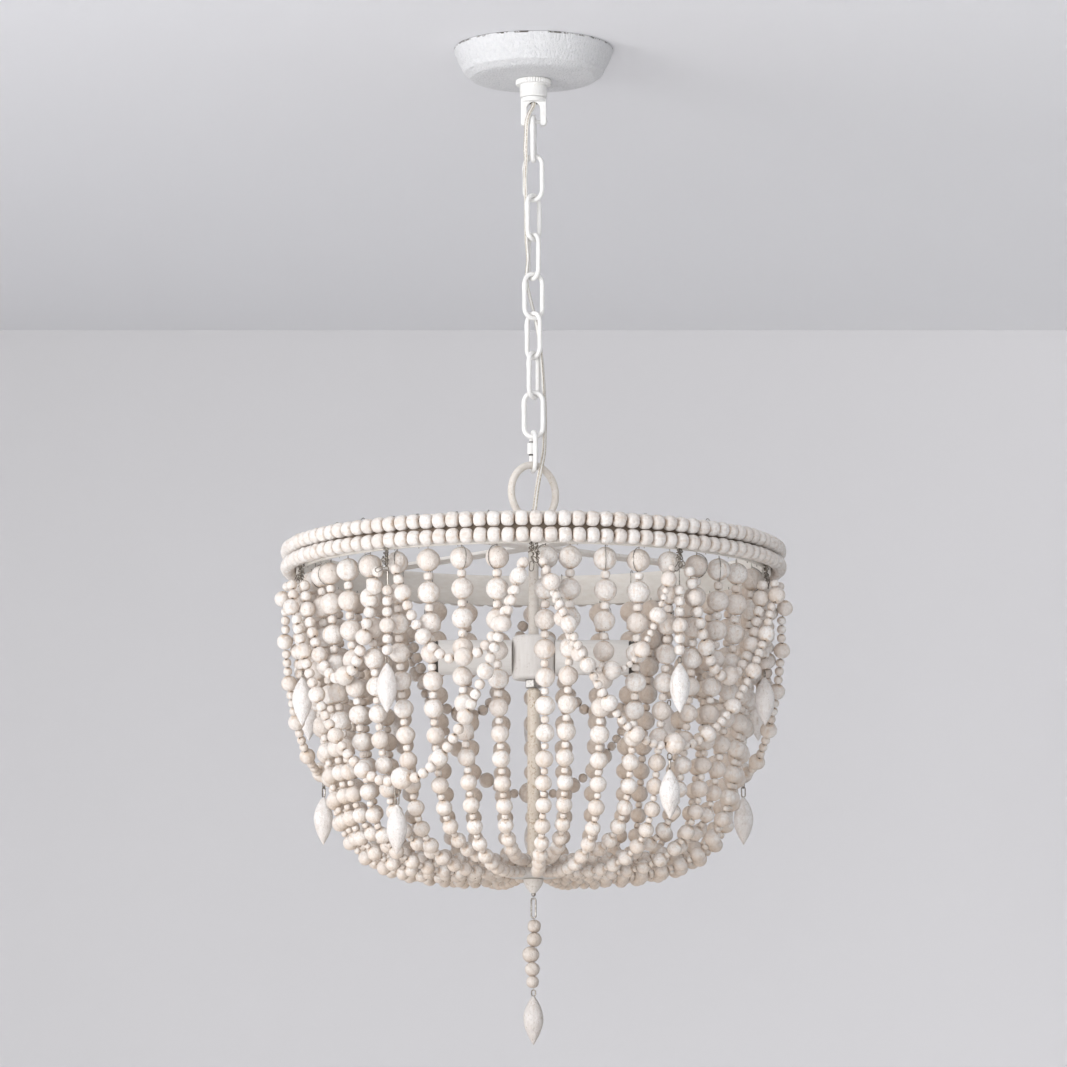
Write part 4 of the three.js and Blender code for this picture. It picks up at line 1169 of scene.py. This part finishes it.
def pushed_clear(centres, radii, others, settle=0.4, slack=0.0003):
    """Moves the beads straight out from the axis until they lie on the others, without sharp steps."""
    places = np.array([c for c, _ in others])
    sizes = np.array([r for _, r in others])
    outs = [unit(centre * level) for centre in centres]
    moves = np.zeros(len(centres))
    for i, (centre, radius, out) in enumerate(zip(centres, radii, outs)):
        away = centre - places
        need = radius + sizes - slack
        far = np.einsum("ij,ij->i", away, away)
        near = far < need**2
        if near.any():
            dot = away[near] @ out
            moves[i] = float((-dot + np.sqrt(np.maximum(dot**2 - far[near] + need[near] ** 2, 0))).max())
    gaps = np.linalg.norm(np.diff(centres, axis=0), axis=1)
    spots = np.concatenate([[0.0], np.cumsum(gaps)])
    eased = [max(0.0, *(moves - settle * abs(spots - s))) for s in spots]
    return [centre + out * move for centre, out, move in zip(centres, outs, eased)]


def string_on(maker, wires, centres, radii):
    """Beads on one thread, each turned along it."""
    count = len(centres)
    for i, (centre, radius) in enumerate(zip(centres, radii)):
        way = centres[min(i + 1, count - 1)] - centres[max(i - 1, 0)]
        spin = uniform(0, 6)
        big = radius > small_bead_limit
        tilt = jitter(big_bead_lean if big else small_bead_lean) * np.linalg.norm(way)
        form = out_of_round(round_bead if big else small_bead)
        maker.add(form, centre, facing(way + tilt, spin), radius * uniform(*swag_size_range))
    wires.add(sweep(centres, tie_wire))


def swag_row(setup, label, slack_beads, wires):
    maker = Maker()
    laid = []
    for i in range(setup.bays):
        line = setup.line(i)
        beads = swag_sequence(line.length, setup.middle)
        radii = [radius for _, radius in beads]
        lift = (0, 0, setup.middle - big_bead_radius)
        centres = [line.at(at) + lift if r == setup.middle else line.at(at) for at, r in beads]
        centres = pushed_clear(centres, radii, slack_beads)
        string_on(maker, wires, centres, radii)
        laid += list(zip(centres, radii))
    seat(maker.finish(f"swag_beads_{label}", bead_wood), "fixture", "bead_wood", f"{label}_swags")
    return laid


def drop_strings(wires):
    """Straight strings of six beads from the ties down to the leaves, none at the very front."""
    maker = Maker()
    laid = []
    for i, angle in enumerate(turns(attach_count)[1:], 1):
        reached = (band_low - box_of(f"leaf_drop_{i}")[1].z) - 0.0005 - 2 * sum(drop_beads)
        centres = []
        for radius in drop_beads:
            centres.append(place(drop_radius, angle, band_low - reached - radius))
            reached += 2 * radius
        string_on(maker, wires, centres, drop_beads)
        wires.add(sweep([place(drop_radius, angle, band_low - 0.001), centres[0]], tie_wire))
        laid += list(zip(centres, drop_beads))
    seat(maker.finish("drop_beads", bead_wood), "fixture", "bead_wood", "upper_swags")
    return laid


def tie_path(angle, steps=48):
    """One strand of a bundle, twisted loosely down over the band."""
    lean, spread = uniform(-tie_lean, tie_lean), uniform(-tie_spread, tie_spread)
    phase, long = uniform(0, 6), uniform(*tie_length)
    twists, proud = uniform(*tie_half_turns) * pi, uniform(*tie_proud)
    path = []
    for share in shares(steps):
        turn = twists * share + phase
        wide = tie_radius * (0.6 + 0.6 * sin(7 * share + phase) ** 2)
        aside = lean + spread * share + wide * sin(turn)
        path.append(place(band_radius + proud + wide * cos(turn), angle + aside / band_radius,
                          band_low + 0.001 - long * share))
    return path


def twisted_ties():
    """Untidy bundles of twisted wire that hold the swags' ends to the band, with loose loops."""
    wires = Maker()
    for angle in turns(attach_count):
        for _ in range(tie_strands):
            wires.add(sweep(tie_path(angle), tie_wire))
        for _ in range(tie_loops):
            side = uniform(-tie_loop_side, tie_loop_side)
            spot = place(band_radius + 0.005, angle + side, band_low - uniform(*tie_loop_drop))
            loop = oval_path(uniform(*tie_loop_length), uniform(*tie_loop_width), 2 * tie_wire, 8, 3)
            turn = spun(angle + uniform(-tie_loop_turn, tie_loop_turn))
            tilt = spun(uniform(-tie_loop_tilt, tie_loop_tilt), "Y")
            wires.add(sweep(loop, tie_wire, closed=True), spot, turn @ tilt)
    seat(wires.finish("tie_wires", dark_wire), "fixture", "steel")


def rim_staples(wires):
    """Wire over the band's top edge by each string, with cut ends that stand up a little."""
    inside = band_radius - band_thickness
    for i in range(strand_count):
        angle = tau * (i + uniform(-0.2, 0.2)) / strand_count
        rise = random.choice(staple_rises)
        knots = [
            (inside - 0.0007, angle, band_low - 0.001),
            (inside - 0.0008, angle, (band_low + band_high) / 2),
            (inside - 0.0006, angle, band_high - 0.0005),
            ((inside + band_radius) / 2, angle, band_high + rise),
            (band_radius + 0.0016, angle, band_high - 0.0004),
            (band_radius + 0.0014, angle + 0.003, band_high - 0.006),
        ]
        wires.add(sweep(smooth_path([place(*knot) for knot in knots], 5), tie_wire))


# Leaves and the drop under the finial

def leaf_form(eye):
    """A spindle, pointed at both ends."""
    top, rings = -eye + 2 * fine_wire, 26
    profile = [(0, top)]
    for share in shares(rings)[1:-1]:
        swell = sin(pi * share**0.93) ** 0.92
        profile.append((leaf_radius * max(swell, 0.1), top - leaf_length * share))
    return lathe([*profile, (0, top - leaf_length)], 28)


def whittled(form):
    """The leaf as cut by hand: faint flats and dents round it."""
    points = form.points.copy()
    phase = [uniform(0, 6) for _ in range(4)]
    turn = np.arctan2(points[:, 1], points[:, 0])
    height = points[:, 2] / leaf_length
    dents = 0.016 * np.sin(3 * turn + 5 * height + phase[0]) + 0.012 * np.sin(7 * height + phase[1])
    dents += 0.018 * np.sin(5 * turn - 9 * height + phase[2]) * np.sin(11 * height + phase[3])
    points[:, :2] *= (0.97 + dents)[:, None]
    return Form(points, form.faces)


def eye_form(eye, width):
    return sweep(oval_path(eye, width, 2 * fine_wire, 10, 4), fine_wire * 0.75, 8, closed=True)


def leaf_pieces():
    for label, count, eye in (
            ("leaf_drop", attach_count - 1, leaf_short_eye), ("leaf_low", bay_count, leaf_long_eye)):
        for node in (f"{label}_{i}" for i in range(1, count + 1)):
            x, y, _ = joint_place(f"{node}_swing")
            angle = atan2(x, -y)
            top = place(hypot(x, y), angle, box_of(node)[1].z)
            hang_leaf(node, eye, top, spun(angle), node, leaf_wood)


def hang_leaf(name, eye, top, spin, body, look):
    single(f"{name}_spindle", whittled(leaf_form(eye)), look, body, "leaf_wood", name,
           at=top, turn=spin, soften=60)
    wire = Maker()
    if eye < 2 * leaf_ring:
        wire.add(eye_form(eye, leaf_eye_width), top, spin)
    else:
        wire.add(eye_form(leaf_ring, leaf_ring_width), top, spin)
        drop = leaf_ring - 3.2 * fine_wire
        lower = top - np.array([0, 0, drop])
        wire.add(eye_form(eye - drop, leaf_eye_width), lower, spin @ spun(leaf_ring_turn))
    seat(wire.finish(f"{name}_eye", dark_wire), body, "steel")


def tail_pieces():
    low, high = box_of("finial_link")
    path = oval_path(high.z - low.z, tail_link_width, 2 * fine_wire, 12, 6)
    single("finial_wire_link", sweep(path, fine_wire, 10, closed=True), wire_steel, "tail_link", "steel",
           "finial_link", at=(0, 0, high.z))
    low, high = box_of("bottom_beads")
    maker, wires = Maker(), Maker()
    scale = (high.z - low.z - 2 * fine_wire) / (2 * sum(tail_beads_radii))
    reached = high.z - fine_wire
    centres = []
    for sway, radius in zip(tail_sways, tail_beads_radii):
        centres.append(np.array([sway, 0.0, reached - radius * scale]))
        reached -= 2 * radius * scale
    string_on(maker, wires, centres, tail_beads_radii)
    wires.add(sweep([(0, 0, high.z), *centres, (0, 0, low.z)], fine_wire * 0.8, 8))
    seat(maker.finish("tail_round_beads", shaded_tail_wood), "tail_beads", "bead_wood", "bottom_beads")
    seat(wires.finish("tail_wire", wire_steel), "tail_beads", "steel")
    top = np.array([0, 0, box_of("bottom_leaf")[1].z])
    hang_leaf("bottom_leaf", leaf_short_eye, top, Matrix.Identity(3), "tail_leaf", shaded_tail_leaf_wood)


# Room, lamps and camera

def one_sided(name, near, far, corners, faces=((0, 1, 2, 3),)):
    """A pale sheet that shows only from the room's side, so that views from outside look through it.
    Its colour drifts from left to right and from near to far, as painted light."""
    look = Look(name + "_paint", 0.9)
    spot = look.add("NewGeometry").outputs["Position"]
    # Painted light: the sheet's colour drifts from left to right and from near to far.
    across = look.between(look.part(spot, "X"), -0.6, 0.6)
    deep = look.between(look.part(spot, "Y"), -0.2, wall_distance)
    look.done(look.mix(deep, look.mix(across, *near), look.mix(across, *far)))
    back = look.add("NewGeometry").outputs["Backfacing"]
    clear = look.add("BsdfTransparent").outputs["BSDF"]
    mixed = look.add("MixShader", {0: back, 1: look.shader.outputs["BSDF"], 2: clear})
    output = next(n for n in look.tree.nodes if n.type == "OUTPUT_MATERIAL")
    look.tree.links.new(mixed.outputs["Shader"], output.inputs["Surface"])
    mesh = bpy.data.meshes.new(name)
    mesh.from_pydata(corners, [], faces)
    mesh.materials.append(look.material)
    linked(name, mesh)


def ceiling_sheet(half, depth, sides=64):
    """A ceiling with a round hole over the canopy, so that daylight reaches the canopy from above."""
    inner, outer = [], []
    for turn in turns(sides):
        x, y = cos(turn), sin(turn)
        reach = min(half / max(abs(x), 1e-9), (depth if y > 0 else half) / max(abs(y), 1e-9))
        inner.append((ceiling_hole * x, ceiling_hole * y, ceiling_gap))
        outer.append((reach * x, reach * y, ceiling_gap))
    faces = [(k, (k + 1) % sides, sides + (k + 1) % sides, sides + k) for k in range(sides)]
    return inner + outer, faces


def room():
    w, d, low, high = room_half, wall_distance, -floor_drop, ceiling_gap
    one_sided("ceiling", ceiling_near, ceiling_far, *ceiling_sheet(w, d))
    one_sided("wall", wall_colours, wall_colours, [(-w, d, low), (w, d, low), (w, d, high), (-w, d, high)])
    floor = [(-w, -w, low), (w, -w, low), (w, d, low), (-w, d, low)]
    one_sided("floor", floor_colours, floor_colours, floor)


def lights():
    for name, spot, size, power in lamps:
        data = bpy.data.lights.new(name, "AREA")
        data.shape = "SQUARE"
        data.size = size
        data.energy = power
        thing = linked(name, data)
        thing.location = spot
        thing.rotation_euler = (Vector(lamp_target) - Vector(spot)).to_track_quat("-Z", "Y").to_euler()
    world = bpy.data.worlds.new("studio")
    world.use_nodes = True
    sky = world.node_tree.nodes["Background"]
    sky.inputs["Color"].default_value = sky_colour
    sky.inputs["Strength"].default_value = sky_strength
    bpy.context.scene.world = world


def camera():
    data = bpy.data.cameras.new("camera")
    data.lens = camera_lens
    data.sensor_width = 36
    thing = linked("camera", data)
    thing.location = camera_place
    thing.rotation_euler = (camera_tilt, 0, 0)
    bpy.context.scene.camera = thing
    bpy.context.scene.view_settings.view_transform = "Standard"


def inner_nodes():
    """The steel pieces hidden in the canopy keep their own shape."""
    for node in ("mounting_bar", "bar_screw_left", "bar_screw_right", "threaded_nipple"):
        materials = frame["nodes"][node].data.materials
        materials.clear()
        materials.append(steel)


camera()
cord_pieces()
canopy_cover()
collar_piece()
loop_piece()
pin_piece()
inner_nodes()
chain_pieces()
quick_pieces()
eye_piece()
band_piece()
rim_rows()
softened_copy("cross_flat_bars", "cross_bars", bar_paint, 0.0006, "fixture", "frame_wood")
stem_pieces()
plate_pieces()
socket_pieces()
strings = basket_strings()
fine_wires = Maker()
upper = swag_row(upper_swag, "upper", strings, fine_wires)
drops = drop_strings(fine_wires)
swag_row(lower_swag, "lower", strings + upper + drops, fine_wires)
rim_staples(fine_wires)
seat(fine_wires.finish("swag_wires", wire_steel), "fixture", "steel")
twisted_ties()
leaf_pieces()
tail_pieces()
room()
lights()
